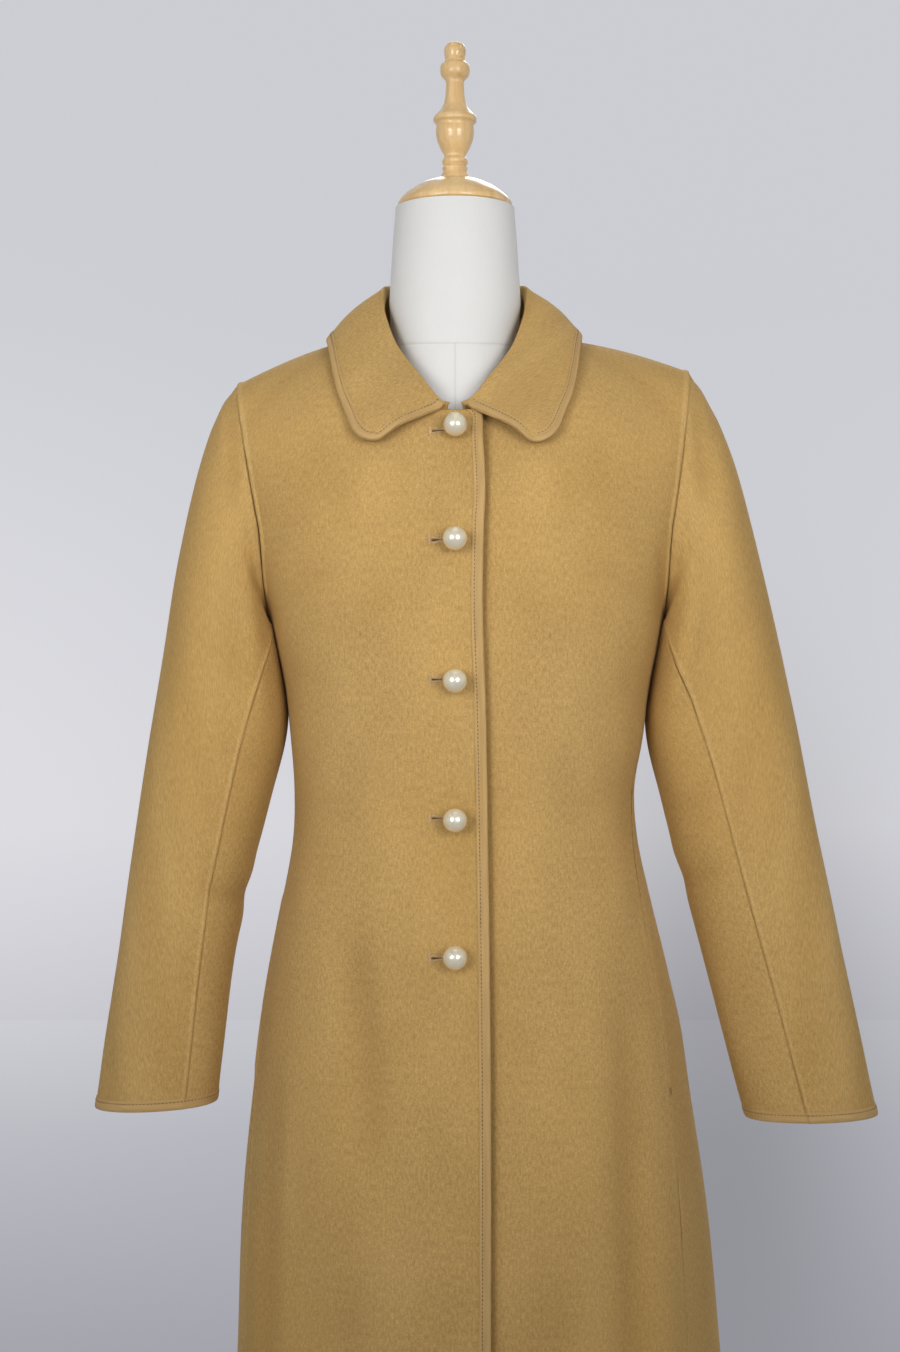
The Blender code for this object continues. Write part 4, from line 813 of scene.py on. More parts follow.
def back_share(side, turn):
    height = armhole_height(side, turn)
    away = side * math.pi - section_angle(side, turn)
    return away / (side * math.pi - side_angle(side, height))


corner_turn = np.radians(YOKE_TURN)
front_corner = {side: float(front_share(side, corner_turn)) for side, _ in SIDES}
back_corner = {side: float(back_share(side, -corner_turn)) for side, _ in SIDES}
FRONT_PANEL = (front_angle, front_corner, front_neck, (0.0, 0.50, 0.86))
BACK_PANEL = (back_angle, back_corner, back_neck, (0.0, -0.35, 0.94))
print("neckline:", round(2 * NECK_HALF, 3), "m across")

# %% [markdown]
# ## Fine grids
# Each panel is a grid of points: rows from the hem up, columns from the side seam to the front edge. The grid is
# close near the seams, where the cloth rolls in within a few millimetres, and wider over the plain cloth.
# The same functions with the solids' own few columns give the neckline on which the collar is built.

# %% Panel grids
LAP_EDGE = table(
    "height reach",
    (0.330, 0.0268),
    (0.850, 0.0268),
    (1.060, 0.0236),
    (1.140, 0.0212),
    (1.205, 0.0222),
    (1.298, 0.0250),
)
UNDERLAP_REACH = 0.024
LAP_DROP = 0.0062
LAP_DROP_FROM, LAP_DROP_TO = 0.031, 0.080
LAP_CORNER = 0.005
NECK_TURNS = (90.0, 82.0, 73.0, 60.0, 47.0, 36.0, 26.0, 17.0, 5.5)
BACK_TURNS = (90.0, 75.0, 60.0, 45.0, 30.0, 15.0, 0.0)
SOLID_ROWS = (0.330, 0.400, 0.470, 0.540, 0.610, 0.680, 0.740, 0.795, 0.845,
              0.895, 0.945, 1.010, 1.050, 1.090, 1.130)
RING_STEP = 15.0
FINE, COARSE = 0.0012, 0.0046
FINE_BAND, STEP_GROWTH = 0.008, 0.16

lap_reach = curve(LAP_EDGE["height"], LAP_EDGE["reach"])


def steps(length, near_start=False, near_end=False, fine=FINE, coarse=COARSE):
    """Shares of a length, close together near the ends that are seams."""
    at = np.linspace(0.0, length, 4000)
    away = np.full_like(at, length)
    if near_start:
        away = np.minimum(away, at)
    if near_end:
        away = np.minimum(away, length - at)
    step = np.minimum(coarse, fine + STEP_GROWTH * np.maximum(away - FINE_BAND, 0.0))
    count = np.concatenate([[0.0], np.cumsum(np.diff(at) / step[1:])])
    wanted = np.linspace(0.0, count[-1], int(math.ceil(count[-1])) + 1)
    return np.interp(wanted, count, at / length)


SOLID_CUT = {
    "under": np.radians(np.arange(180.0, YOKE_TURN - 1.0, -RING_STEP)),
    "shoulder": np.linspace(0.0, 1.0, 6),
    "neck": np.array(NECK_TURNS) / 90.0,
    "back_neck": np.array(BACK_TURNS) / 90.0,
    "lap": np.array((0.0, 0.36, 0.72, 1.0)),
    "rows": np.array(SOLID_ROWS),
    "turns": np.radians(np.arange(YOKE_TURN, -1.0, -RING_STEP)),
}
FINE_CUT = {
    "under": np.radians(mix(180.0, YOKE_TURN, steps(0.075, True, True))),
    "shoulder": steps(0.120, True),
    "neck": mix(1.0, NECK_TURNS[-1] / 90.0, steps(0.100, coarse=0.0036)),
    "back_neck": mix(1.0, 0.0, steps(0.110)),
    "lap": steps(0.031, False, True, coarse=0.0032),
    "rows": mix(HEM_Z, ARMPIT_Z, steps(0.860, False, True)),
    "turns": np.radians(mix(YOKE_TURN, 0.0, steps(0.160, False, True))),
}


def edge_share(side, height, rise):
    """The v of a front's free edge, which lies beyond the centre front."""
    reach = lap_reach(height) if side == RIGHT else UNDERLAP_REACH
    reach = reach - LAP_CORNER * np.clip((rise - 0.9) / 0.1, 0.0, 1.0) ** 2
    middle = angle_at(0.0, height)
    across = side_angle(-side, height) - middle
    low = (angle_at(-side * reach, height) - middle) / across / front_corner[-side]
    high = NECK_SHARE * np.arcsin(reach / NECK_HALF) / (math.pi / 2)
    return mix(low, high, rise)


def front_columns(side, edge, cut):
    """The v of the columns of each row, from the armhole to the free edge."""
    shoulder = mix(1.0, NECK_SHARE, cut["shoulder"])
    neck = NECK_SHARE * cut["neck"][1:]
    plain = np.broadcast_to(np.concatenate([shoulder, neck]), (len(edge), len(shoulder) + len(neck)))
    lap = mix(neck[-1], -edge[:, None], cut["lap"][1:])
    return side * np.concatenate([plain, lap], axis=1)


def stretched(height, top):
    """Rows above the waist spread out to reach each column's own top."""
    spread = mix(STRETCH_Z, top, (height - STRETCH_Z) / (ARMPIT_Z - STRETCH_Z))
    return np.where(height > STRETCH_Z, spread, height)


def front_grids(side, cut):
    """Outer face of a front: lower grid and yoke grid, side seam column first."""
    rows, turns = cut["rows"], cut["turns"]
    under = side * front_share(side, cut["under"])[:-1]
    v = front_columns(side, edge_share(side, stretched(rows, YOKE_Z), 0.0), cut)
    ahead = v * np.where(v < 0, front_corner[RIGHT], front_corner[LEFT])
    u = np.concatenate([np.broadcast_to(under, (len(rows), len(under))), ahead], axis=1)
    tops = np.concatenate([armhole_height(side, cut["under"])[:-1], np.full(v.shape[1], YOKE_Z)])
    heights = stretched(rows[:, None], tops)
    lower = body_point(front_angle(u, heights), heights)
    rise = (armhole_height(LEFT, turns) - YOKE_Z) / (shoulder_tip(LEFT)[2] - YOKE_Z)
    v = front_columns(side, edge_share(side, YOKE_Z, rise), cut)
    grids = [lower, yoke_point(v, turns[:, None], FRONT_PANEL)]
    if side == LEFT:
        for grid in grids:
            grid[..., 1] += LAP_DROP * (1 - smooth((grid[..., 0] - LAP_DROP_FROM) / (LAP_DROP_TO - LAP_DROP_FROM)))
    return grids


def back_grids(cut):
    """Outer face of the back: lower grid and yoke grid, the wearer's left side seam first."""
    half = np.concatenate([mix(1.0, NECK_SHARE, cut["shoulder"]), NECK_SHARE * cut["back_neck"][1:]])
    v = np.concatenate([half, -half[-2::-1]])
    left = back_share(LEFT, -cut["under"])[:-1]
    right = -back_share(RIGHT, -cut["under"])[:-1]
    u = np.concatenate([left, v * np.where(v < 0, back_corner[RIGHT], back_corner[LEFT]), right[::-1]])
    count = len(left)
    tops = np.full(len(u), YOKE_Z)
    tops[:count] = armhole_height(LEFT, cut["under"])[:-1]
    tops[-count:] = tops[count - 1::-1]
    heights = stretched(cut["rows"][:, None], tops)
    lower = body_point(back_angle(u[None, :], heights), heights)
    return [lower, yoke_point(v, -cut["turns"][:, None], BACK_PANEL)]


def ring_numbers(count, corners):
    """Numbers of the points of a stack of rings, each row closed with its first point."""
    numbers = np.arange(count * corners).reshape(count, corners)
    return np.concatenate([numbers, numbers[:, :1]], axis=1)


def quads(numbers):
    corners = (numbers[:-1, :-1], numbers[:-1, 1:], numbers[1:, 1:], numbers[1:, :-1])
    return np.stack([corner.ravel() for corner in corners], axis=1)


def panel_faces(grids, under):
    """Faces of a lower grid and of the yoke grid that grows from its last row."""
    lower, upper = grids
    numbers = np.arange(lower.shape[0] * lower.shape[1]).reshape(lower.shape[:2])
    rest = numbers.size + np.arange((len(upper) - 1) * upper.shape[1]).reshape(-1, upper.shape[1])
    first = numbers[-1:, under:under + upper.shape[1]]
    return np.concatenate([quads(numbers), quads(np.concatenate([first, rest]))])


def panel_points(grids):
    return np.concatenate([grid.reshape(-1, grid.shape[-1]) for grid in (grids[0], grids[1][1:])])


def point_normals(points, faces, out):
    """The mean direction of the faces round each point, on the side that out gives at the first."""
    a, b, c, d = (points[faces[:, corner]] for corner in range(4))
    looks = np.cross(c - a, d - b)
    total = np.zeros_like(points)
    for corner in range(4):
        np.add.at(total, faces[:, corner], looks)
    total = unit(total)
    return total if total[0] @ out > 0 else -total


fine_front = {side: front_grids(side, FINE_CUT) for side, _ in SIDES}
fine_back = back_grids(FINE_CUT)
print("front grid:", fine_front[RIGHT][0].shape[:2], "back grid:", fine_back[0].shape[:2])

# %% [markdown]
# ## Seams and creases as relief
# A sewn seam sinks between two soft welts, because the seam allowances lie folded under the cloth on each side.
# The distance from a point to the seam's line gives that roll. Creases come from a table, each a soft trough or
# ridge of its own length, depth and width, and a slow unevenness keeps the plain cloth from looking pressed.
# Soft cloth also stands off its plain form at the sides by a few millimetres, which one more table gives by height,
# and a few small pinches dent it where it is nipped.

# %% Relief
STITCH_DIP, WELT_EDGE, WELT_FALL = 0.0010, 0.85, 0.3
CREASE_PAST, CREASE_FADE, CREASE_FACING = 0.15, 0.45, 0.5
EASE_FACING_FROM, EASE_FACING_OVER = 0.1, 0.7


def away_from(points, line):
    """Distance of each point from a line of points."""
    nearest = np.full(len(points), np.inf)
    for a, b in zip(line[:-1], line[1:]):
        along = b - a
        t = np.clip((points - a) @ along / (along @ along), 0.0, 1.0)
        nearest = np.minimum(nearest, np.sum((points - a - t[:, None] * along) ** 2, axis=1))
    return np.sqrt(nearest)


def seam_roll(away, sink=0.0004, welt=0.0006, reach=0.0062):
    """Sunk at the stitches, then a flat welt as far as the allowance reaches beneath."""
    flat = 1 - smooth((away - WELT_EDGE * reach) / (WELT_FALL * reach))
    return welt * flat - (sink + welt) * np.exp(-((away / STITCH_DIP) ** 2))


UNEVEN = table(
    "across up turn size",
    (31.0, 9.0, 0.4, 0.00022),
    (17.0, 21.0, 1.9, 0.00020),
    (47.0, 14.0, 3.1, 0.00012),
    (11.0, 37.0, 0.8, 0.00012),
    (23.0, 5.0, 4.4, 0.00030),
    (8.0, 13.0, 2.6, 0.00030),
)


def unevenness(uv, start):
    """Slow, shallow waves of the cloth, in metres, from its own widths and lengths."""
    total = np.zeros(len(uv))
    for across, up, turn, size in zip(*UNEVEN.values()):
        total += size * np.sin(across * uv[:, 0] + up * uv[:, 1] + turn + start)
    return total


CREASE_COLUMNS = "x0 z0 x1 z1 width depth bow"
CREASES = {
    "front": table(
        CREASE_COLUMNS,
        (-0.086, 0.880, -0.066, 0.690, 0.014, -0.0038, 0.004),
        (-0.148, 0.770, -0.158, 0.380, 0.010, -0.0022, 0.003),
        (-0.134, 0.750, -0.142, 0.360, 0.014, 0.0018, -0.003),
        (0.168, 0.750, 0.182, 0.350, 0.016, 0.0020, -0.003),
        (-0.110, 0.840, -0.104, 0.560, 0.020, 0.0016, -0.005),
        (-0.064, 0.640, -0.060, 0.360, 0.022, 0.0018, 0.004),
        (0.137, 0.850, 0.141, 0.400, 0.015, -0.0034, 0.003),
        (0.112, 0.800, 0.108, 0.470, 0.020, 0.0018, 0.004),
        (0.070, 0.660, 0.078, 0.350, 0.022, -0.0016, -0.004),
        (-0.142, 1.140, -0.092, 1.168, 0.009, -0.0011, 0.004),
        (-0.140, 1.092, -0.100, 1.070, 0.010, -0.0008, -0.003),
        (0.158, 1.146, 0.108, 1.172, 0.009, -0.0011, -0.004),
        (0.150, 1.080, 0.112, 1.058, 0.010, -0.0008, 0.003),
        (0.172, 1.186, 0.1735, 1.150, 0.0040, -0.0016, 0.001),
        (-0.130, 0.980, -0.070, 0.952, 0.012, -0.0009, 0.004),
        (0.142, 0.990, 0.086, 0.960, 0.012, -0.0009, -0.003),
        (-0.120, 1.290, -0.100, 1.215, 0.012, -0.0007, 0.003),
        (0.130, 1.292, 0.112, 1.222, 0.012, -0.0007, -0.003),
    ),
    "back": table(
        CREASE_COLUMNS,
        (-0.132, 1.000, -0.060, 0.968, 0.013, -0.0014, 0.005),
        (0.148, 1.006, 0.070, 0.972, 0.013, -0.0014, -0.004),
        (-0.120, 0.950, -0.050, 0.934, 0.012, 0.0010, 0.003),
        (0.134, 0.956, 0.062, 0.930, 0.012, 0.0010, -0.004),
        (-0.150, 1.150, -0.094, 1.190, 0.010, -0.0011, 0.005),
        (0.168, 1.152, 0.112, 1.194, 0.010, -0.0011, -0.005),
        (0.004, 1.330, 0.010, 1.180, 0.024, 0.0010, 0.004),
        (-0.040, 0.900, -0.048, 0.620, 0.018, -0.0018, 0.006),
        (0.060, 0.880, 0.070, 0.560, 0.018, -0.0018, -0.005),
    ),
    "sleeve_right": table(
        CREASE_COLUMNS,
        (-0.1895, 1.312, -0.1848, 1.212, 0.0065, -0.0024, 0.001),
        (-0.180, 0.892, -0.214, 0.906, 0.008, -0.0028, 0.003),
        (-0.176, 0.926, -0.206, 0.950, 0.009, 0.0012, 0.002),
        (-0.166, 1.000, -0.200, 1.034, 0.011, -0.0013, 0.004),
        (-0.172, 1.072, -0.204, 1.118, 0.012, -0.0010, 0.004),
        (-0.236, 1.180, -0.246, 1.040, 0.014, -0.0008, 0.003),
        (-0.268, 0.940, -0.282, 0.800, 0.014, 0.0008, 0.003),
        (-0.226, 0.860, -0.236, 0.760, 0.014, -0.0009, 0.003),
    ),
    "sleeve_left": table(
        CREASE_COLUMNS,
        (0.2047, 1.310, 0.2080, 1.222, 0.0065, -0.0024, 0.001),
        (0.196, 0.905, 0.230, 0.924, 0.010, -0.0014, -0.003),
        (0.186, 0.962, 0.220, 0.990, 0.011, -0.0014, -0.003),
        (0.182, 1.046, 0.216, 1.084, 0.012, -0.0010, -0.004),
        (0.256, 1.176, 0.276, 1.040, 0.014, -0.0008, -0.003),
        (0.300, 0.940, 0.326, 0.800, 0.014, 0.0008, -0.003),
        (0.252, 0.840, 0.270, 0.740, 0.014, -0.0009, -0.003),
    ),
}


def crease_relief(points, normals, rows, ahead):
    """Soft troughs and ridges on the faces that look forward, or on those that look back."""
    total = np.zeros(len(points))
    flat = points[:, (0, 2)]
    for x0, z0, x1, z1, width, depth, bow in zip(*rows.values()):
        start, along = np.array([x0, z0]), np.array([x1 - x0, z1 - z0])
        length = np.linalg.norm(along)
        along = along / length
        t = (flat - start) @ along / length
        beside = (flat - start) @ np.array([-along[1], along[0]]) - bow * np.sin(math.pi * np.clip(t, 0, 1))
        ends = smooth((t + CREASE_PAST) / CREASE_FADE) * smooth((1 + CREASE_PAST - t) / CREASE_FADE)
        total += depth * ends * np.exp(-((beside / width) ** 2))
    facing = -normals[:, 1] if ahead else normals[:, 1]
    return total * smooth(facing / CREASE_FACING)


EASE = table(
    "height body_right body_left sleeve_right_out sleeve_right_in sleeve_left_out sleeve_left_in",
    (0.330, 0.0010, 0.0000, 0.0000, 0.0000, 0.0000, 0.0000),
    (0.490, 0.0019, 0.0000, 0.0000, 0.0000, 0.0000, 0.0000),
    (0.620, 0.0035, 0.0000, 0.0000, 0.0000, 0.0000, 0.0000),
    (0.710, 0.0040, -0.0005, -0.0040, 0.0000, -0.0015, 0.0010),
    (0.770, 0.0039, -0.0018, -0.0026, 0.0000, 0.0010, 0.0000),
    (0.805, 0.0040, -0.0019, -0.0024, 0.0000, 0.0022, 0.0000),
    (0.842, 0.0042, 0.0012, -0.0020, 0.0000, 0.0032, 0.0000),
    (0.885, 0.0042, 0.0040, -0.0008, 0.0000, 0.0048, 0.0000),
    (0.946, 0.0008, 0.0026, 0.0006, 0.0000, 0.0066, 0.0000),
    (0.981, 0.0005, -0.0012, 0.0016, 0.0000, 0.0074, 0.0000),
    (1.030, -0.0008, -0.0020, 0.0030, 0.0050, 0.0082, 0.0060),
    (1.075, -0.0018, -0.0020, 0.0042, 0.0085, 0.0082, 0.0105),
    (1.110, 0.0002, 0.0002, 0.0046, 0.0095, 0.0082, 0.0110),
    (1.140, 0.0000, 0.0000, 0.0042, 0.0070, 0.0080, 0.0080),
    (1.200, 0.0000, 0.0000, 0.0024, 0.0000, 0.0068, 0.0000),
    (1.260, 0.0000, 0.0000, 0.0026, 0.0000, 0.0060, 0.0000),
    (1.310, 0.0000, 0.0000, 0.0034, 0.0000, 0.0050, 0.0000),
)
ease_at = curves(EASE, "height")


def ease_relief(points, normals, toward_left, toward_right):
    """How far soft cloth stands off the plain form at its two sides, by height."""
    high = np.clip(points[:, 2], EASE["height"][0], EASE["height"][-1])
    sides = ((toward_left, normals[:, 0]), (toward_right, -normals[:, 0]))
    return sum(ease_at[name](high) * smooth((faced - EASE_FACING_FROM) / EASE_FACING_OVER) for name, faced in sides)


PINCHES = {
    "front_right": ((-0.168, -0.060, 1.136, 0.014, -0.0016), (-0.150, -0.055, 0.975, 0.018, -0.0008)),
    "front_left": ((0.177, -0.060, 1.142, 0.014, -0.0016), (0.156, -0.055, 0.985, 0.018, -0.0008)),
    "sleeve_right": ((-0.182, -0.015, 0.893, 0.011, -0.0022), (-0.184, -0.015, 0.916, 0.010, 0.0014),
                     (-0.178, -0.020, 0.868, 0.013, 0.0010)),
    "sleeve_left": ((0.198, -0.015, 0.905, 0.012, -0.0014), (0.192, -0.015, 0.930, 0.012, 0.0010)),
}


def pinch_relief(points, rows):
    """Small round dents and swellings where cloth is nipped, whichever way it faces."""
    total = np.zeros(len(points))
    for x, y, z, radius, depth in rows:
        away = (points - (x, y, z)) * (1.0, 0.5, 1.0)
        total += depth * np.exp(-np.sum(away ** 2, axis=1) / radius ** 2)
    return total


print("creases:", sum(len(rows["x0"]) for rows in CREASES.values()))

# %% [markdown]
# ## From a face to a piece of cloth
# A piece of cloth is a closed thin shell: the outer face, the same face moved in by the cloth's thickness, and a rim.
# It carries a map of its own widths and lengths in metres, so that the nap follows the cloth and not the room.
# Each piece then rides on the part, stands for its solid and states the flat size it was cut to.

# %% Cloth pieces
coat = bpy.data.collections.new("coat")
bpy.context.scene.collection.children.link(coat)
SOFT_RIM = math.radians(50.0)


def new_piece(name, points, faces, finish, uv=None, painted_shading=None):
    """A smooth-shaded mesh object with a finish and, for cloth, its own map and its painted shading."""
    mesh = bpy.data.meshes.new(name)
    mesh.from_pydata(np.asarray(points).tolist(), [], [list(face) for face in faces])
    if uv is not None:
        layer = mesh.uv_layers.new(name="cloth")
        corners = np.zeros(len(mesh.loops), dtype=np.int32)
        mesh.loops.foreach_get("vertex_index", corners)
        layer.data.foreach_set("uv", np.asarray(uv, np.float32)[corners].ravel())
    if painted_shading is not None:
        mesh.attributes.new("painted_shading", "FLOAT", "POINT").data.foreach_set("value", np.asarray(painted_shading, np.float32))
    mesh.shade_smooth()
    mesh.set_sharp_from_angle(angle=SOFT_RIM)
    mesh.materials.append(finish.material)
    mesh.validate()
    piece = bpy.data.objects.new(name, mesh)
    coat.objects.link(piece)
    return piece


def turned_out(points, faces, normals):
    """The faces, with their corners in the order that looks along the normals."""
    a, b, c = (points[faces[0, corner]] for corner in range(3))
    return faces[:, ::-1] if np.cross(b - a, c - a) @ normals[faces[0, 0]] < 0 else faces


def shell_of(outer, inner, faces, normals):
    """Points and faces of a closed shell, its outer face looking along the normals."""
    faces = turned_out(outer, faces, normals)
    count = len(outer)
    start = faces.ravel()
    end = np.roll(faces, -1, axis=1).ravel()
    forward = start.astype(np.int64) * count + end
    border = ~np.isin(end.astype(np.int64) * count + start, forward)
    a, b = start[border], end[border]
    rim = np.stack([b, a, a + count, b + count], axis=1)
    return np.concatenate([outer, inner]), np.concatenate([faces, faces[:, ::-1] + count, rim])


def outward(mesh):
    """Turn all faces of a closed mesh to look out."""
    work = bmesh.new()
    work.from_mesh(mesh)
    bmesh.ops.recalc_face_normals(work, faces=work.faces)
    work.to_mesh(mesh)
    work.free()


def half_area(piece):
    work = bmesh.new()
    work.from_mesh(piece.data)
    area = sum(face.calc_area() for face in work.faces) / 2
    work.free()
    return area


def lengths(grid, axis):
    """Distance along the rows or columns of a grid."""
    step = np.linalg.norm(np.diff(grid, axis=axis), axis=-1)
    shape = list(step.shape)
    shape[axis] = 1
    return np.concatenate([np.zeros(shape), np.cumsum(step, axis=axis)], axis=axis)


def settle(piece, node):
    """Let a finished piece ride on the part in place of its solid."""
    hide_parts(node)
    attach(piece, "root")


cloth_pieces = {}
WELT_FULL, TROUGH_FULL = 0.0012, 0.0080


def wool_piece(node, points, faces, uv, normals, plain, seams=0.0, creases=0.0):
    """A piece of wool with its slow unevenness, its seams' rolls and its creases."""
    relief = plain + seams + creases
    # Painted shading from the relief: welts and ridges get a painted highlight, grooves and troughs painted shade.
    painted_shading = np.clip(seams / WELT_FULL + creases / TROUGH_FULL + np.zeros(len(points)), -1.0, 1.0)
    outer = points + normals * relief[:, None]
    normals = point_normals(outer, faces, normals[0])
    inner = outer - normals * CLOTH
    shell, walls = shell_of(outer, inner, faces, normals)
    piece = new_piece("wool_" + node, shell, walls, wool, np.concatenate([uv, uv]), np.concatenate([painted_shading, 0 * painted_shading]))
    cloth_pieces[node] = {"piece": piece, "outer": outer, "inner": inner, "faces": faces, "normals": normals,
                          "wide": float(np.ptp(uv[:, 0])), "long": float(np.ptp(uv[:, 1]))}
    return piece


print("cloth maker ready")

# %% [markdown]
# ## Fronts and back
# The two fronts and the back meet at the side seams, the shoulder seams and the armholes. Low in the side seams the
# stitching is left open for a pocket, so there the seam gapes a little deeper and its front lip stands out.
# The back carries softer creases of the same kind, as cloth does where it hangs from the shoulders.

# %% Fronts and back
POCKET_LOW, POCKET_HIGH, POCKET_FADE = 0.735, 0.895, 0.012
POCKET_ROLL = {RIGHT: (0.0010, 0.0009), LEFT: (0.0005, 0.0002)}


def side_line(side):
    heights = np.linspace(HEM_Z, ARMPIT_Z, 120)
    return body_point(side_angle(side, heights), heights)


def armhole_line(side):
    return armhole_point(side, np.radians(np.linspace(0.0, 360.0, 181)))


def shoulder_seam(side):
    return shoulder_line(side, np.linspace(0.0, 1.0, 60))


def body_relief(points, side):
    """Rolls along one side's seams."""
    beside = away_from(points, side_line(side))
    relief = seam_roll(beside, welt=0.0006 if side == RIGHT else 0.0002)
    sink, lip = POCKET_ROLL[side]
    high = points[:, 2]
    pocket = smooth((high - POCKET_LOW) / POCKET_FADE) * smooth((POCKET_HIGH - high) / POCKET_FADE)
    relief += pocket * seam_roll(beside, sink=sink, welt=lip, reach=0.0085)
    relief += seam_roll(away_from(points, armhole_line(side)), welt=0.0010, reach=0.0054)
    return relief + seam_roll(away_from(points, shoulder_seam(side)), welt=0.0008, reach=0.0070)


LAP_SHADE, LAP_SHADE_WIDE, LAP_SHADE_AT = 0.0010, 0.0044, 0.4


def lap_relief(points):
    """The under front gives a little beside the edge that laps over it, and as part of the seams it takes painted shade
    there: a painted shadow of the lap.
    """
    edge = lap_reach(np.clip(points[:, 2], HEM_Z, LAP_EDGE["height"][-1]))
    beside = points[:, 0] - edge - LAP_SHADE_WIDE * LAP_SHADE_AT
    return -LAP_SHADE * np.exp(-((beside / LAP_SHADE_WIDE) ** 2)) * (points[:, 1] < 0)


def pull_in(grids, under, both=False):
    """Seam edges moved half a seam's gap inside their panel."""
    lower, upper = grids
    ends = ((0, 1), (-1, -2)) if both else ((0, 1),)
    for edge, inside in ends:
        lower[:, edge] += unit(lower[:, inside] - lower[:, edge]) * SEAM_GAP / 2
        upper[1:, edge] += unit(upper[1:, inside] - upper[1:, edge]) * SEAM_GAP / 2
    below = np.r_[0:under, lower.shape[1] - under:lower.shape[1]] if both else np.arange(under)
    lower[-1, below] += unit(lower[-2, below] - lower[-1, below]) * SEAM_GAP / 2
    upper[-1] += unit(upper[-2] - upper[-1]) * SEAM_GAP / 2


def panel_uv(grids, under, grain):
    """Widths across from the column that hangs straight, and lengths up, in metres."""
    lower, upper = grids
    columns = slice(under, under + upper.shape[1])
    up = lengths(lower, 0)
    wide, wide_above = lengths(lower, 1), lengths(upper, 1)
    above = grain if grain < 0 else grain - under
    low = np.stack([wide - wide[:, grain][:, None], up], axis=-1)
    high = np.stack([wide_above - wide_above[:, above][:, None], lengths(upper, 0) + up[-1, columns]], axis=-1)
    return panel_points([low, high])


under_columns = len(FINE_CUT["under"]) - 1
for side, label in SIDES:
    grids = fine_front[side]
    pull_in(grids, under_columns)
    points, faces = panel_points(grids), panel_faces(grids, under_columns)
    normals = point_normals(points, faces, np.array([side, -1.0, 0.0]))
    uv = panel_uv(grids, under_columns, -1)
    rolls = body_relief(points, side) + (lap_relief(points) if side == LEFT else 0.0)
    folds = crease_relief(points, normals, CREASES["front"], True) + pinch_relief(points, PINCHES["front_" + label])
    ease = ease_relief(points, normals, "body_left", "body_right")
    wool_piece("front_" + label, points, faces, uv, normals, unevenness(uv, side) + ease, rolls, folds)

pull_in(fine_back, under_columns, both=True)
points, faces = panel_points(fine_back), panel_faces(fine_back, under_columns)
normals = point_normals(points, faces, np.array([1.0, 0.0, 0.0]))
uv = panel_uv(fine_back, under_columns, fine_back[0].shape[1] // 2)
seam_rolls = body_relief(points, RIGHT) + body_relief(points, LEFT)
ease = ease_relief(points, normals, "body_left", "body_right")
wool_piece("back", points, faces, uv, normals, unevenness(uv, 5.0) + ease, seam_rolls,
           crease_relief(points, normals, CREASES["back"], False))
print({node: len(made["faces"]) for node, made in cloth_pieces.items()})

# %% [markdown]
# ## Sleeves
# A tailored sleeve is cut in two: a wide top sleeve and a narrow under sleeve. The front seam shows from the front as
# a fine welt down to the cuff. The head of the sleeve is eased into the armhole, so the cloth swells a little just
# below that seam, and a few short creases gather at the inside of the elbow.
# The inside of the upper sleeve leans against the body. A search tree of the body's cloth stops it just short of it.

# %% Sleeves
HEAD_SWELL, SWELL_AT, SWELL_WIDE = 0.0016, 0.016, 0.010
SWELL_FROM_Z, SWELL_RISE = 1.20, 0.08
EASE_FROM, EASE_OVER = 0.001, 0.018
SHOULDER_EASE_OVER, SHOULDER_EASE_Z, SHOULDER_EASE_RISE = 0.026, 1.15, 0.12
BACK_CREASES = 0.7
PAST_SEAM = 1e-3


def joined_tree(meshes):
    """One search tree over several sets of points and faces."""
    points, faces, count = [], [], 0
    for some_points, some_faces in meshes:
        faces += (np.asarray(some_faces) + count).tolist()
        points += some_points.tolist()
        count += len(some_points)
    return BVHTree.FromPolygons(points, faces)


def sleeve_line(side, degrees):
    rows = np.linspace(0.0, LAST_SECTION, 160)
    return sleeve_point(side, sleeve_turn(side, np.full_like(rows, degrees), rows), rows)


worn = joined_tree([(cloth_pieces[node]["outer"], cloth_pieces[node]["faces"])
                    for node in ("front_right", "front_left", "back")])


def beyond_body(points, normals, lift, clearance=0.0006, below=1.135, back_off=0.004):
    """How far a lift carries the sleeve's points past the body's cloth, under the arm."""
    past = np.zeros(len(points))
    starts, reach = points - normals * back_off, lift + clearance + back_off
    for index in np.flatnonzero((reach > back_off) & (points[:, 2] < below)):
        room = worn.ray_cast(Vector(starts[index]), Vector(normals[index]), reach[index])[3]
        if room is not None:
            past[index] = reach[index] - room
    return past


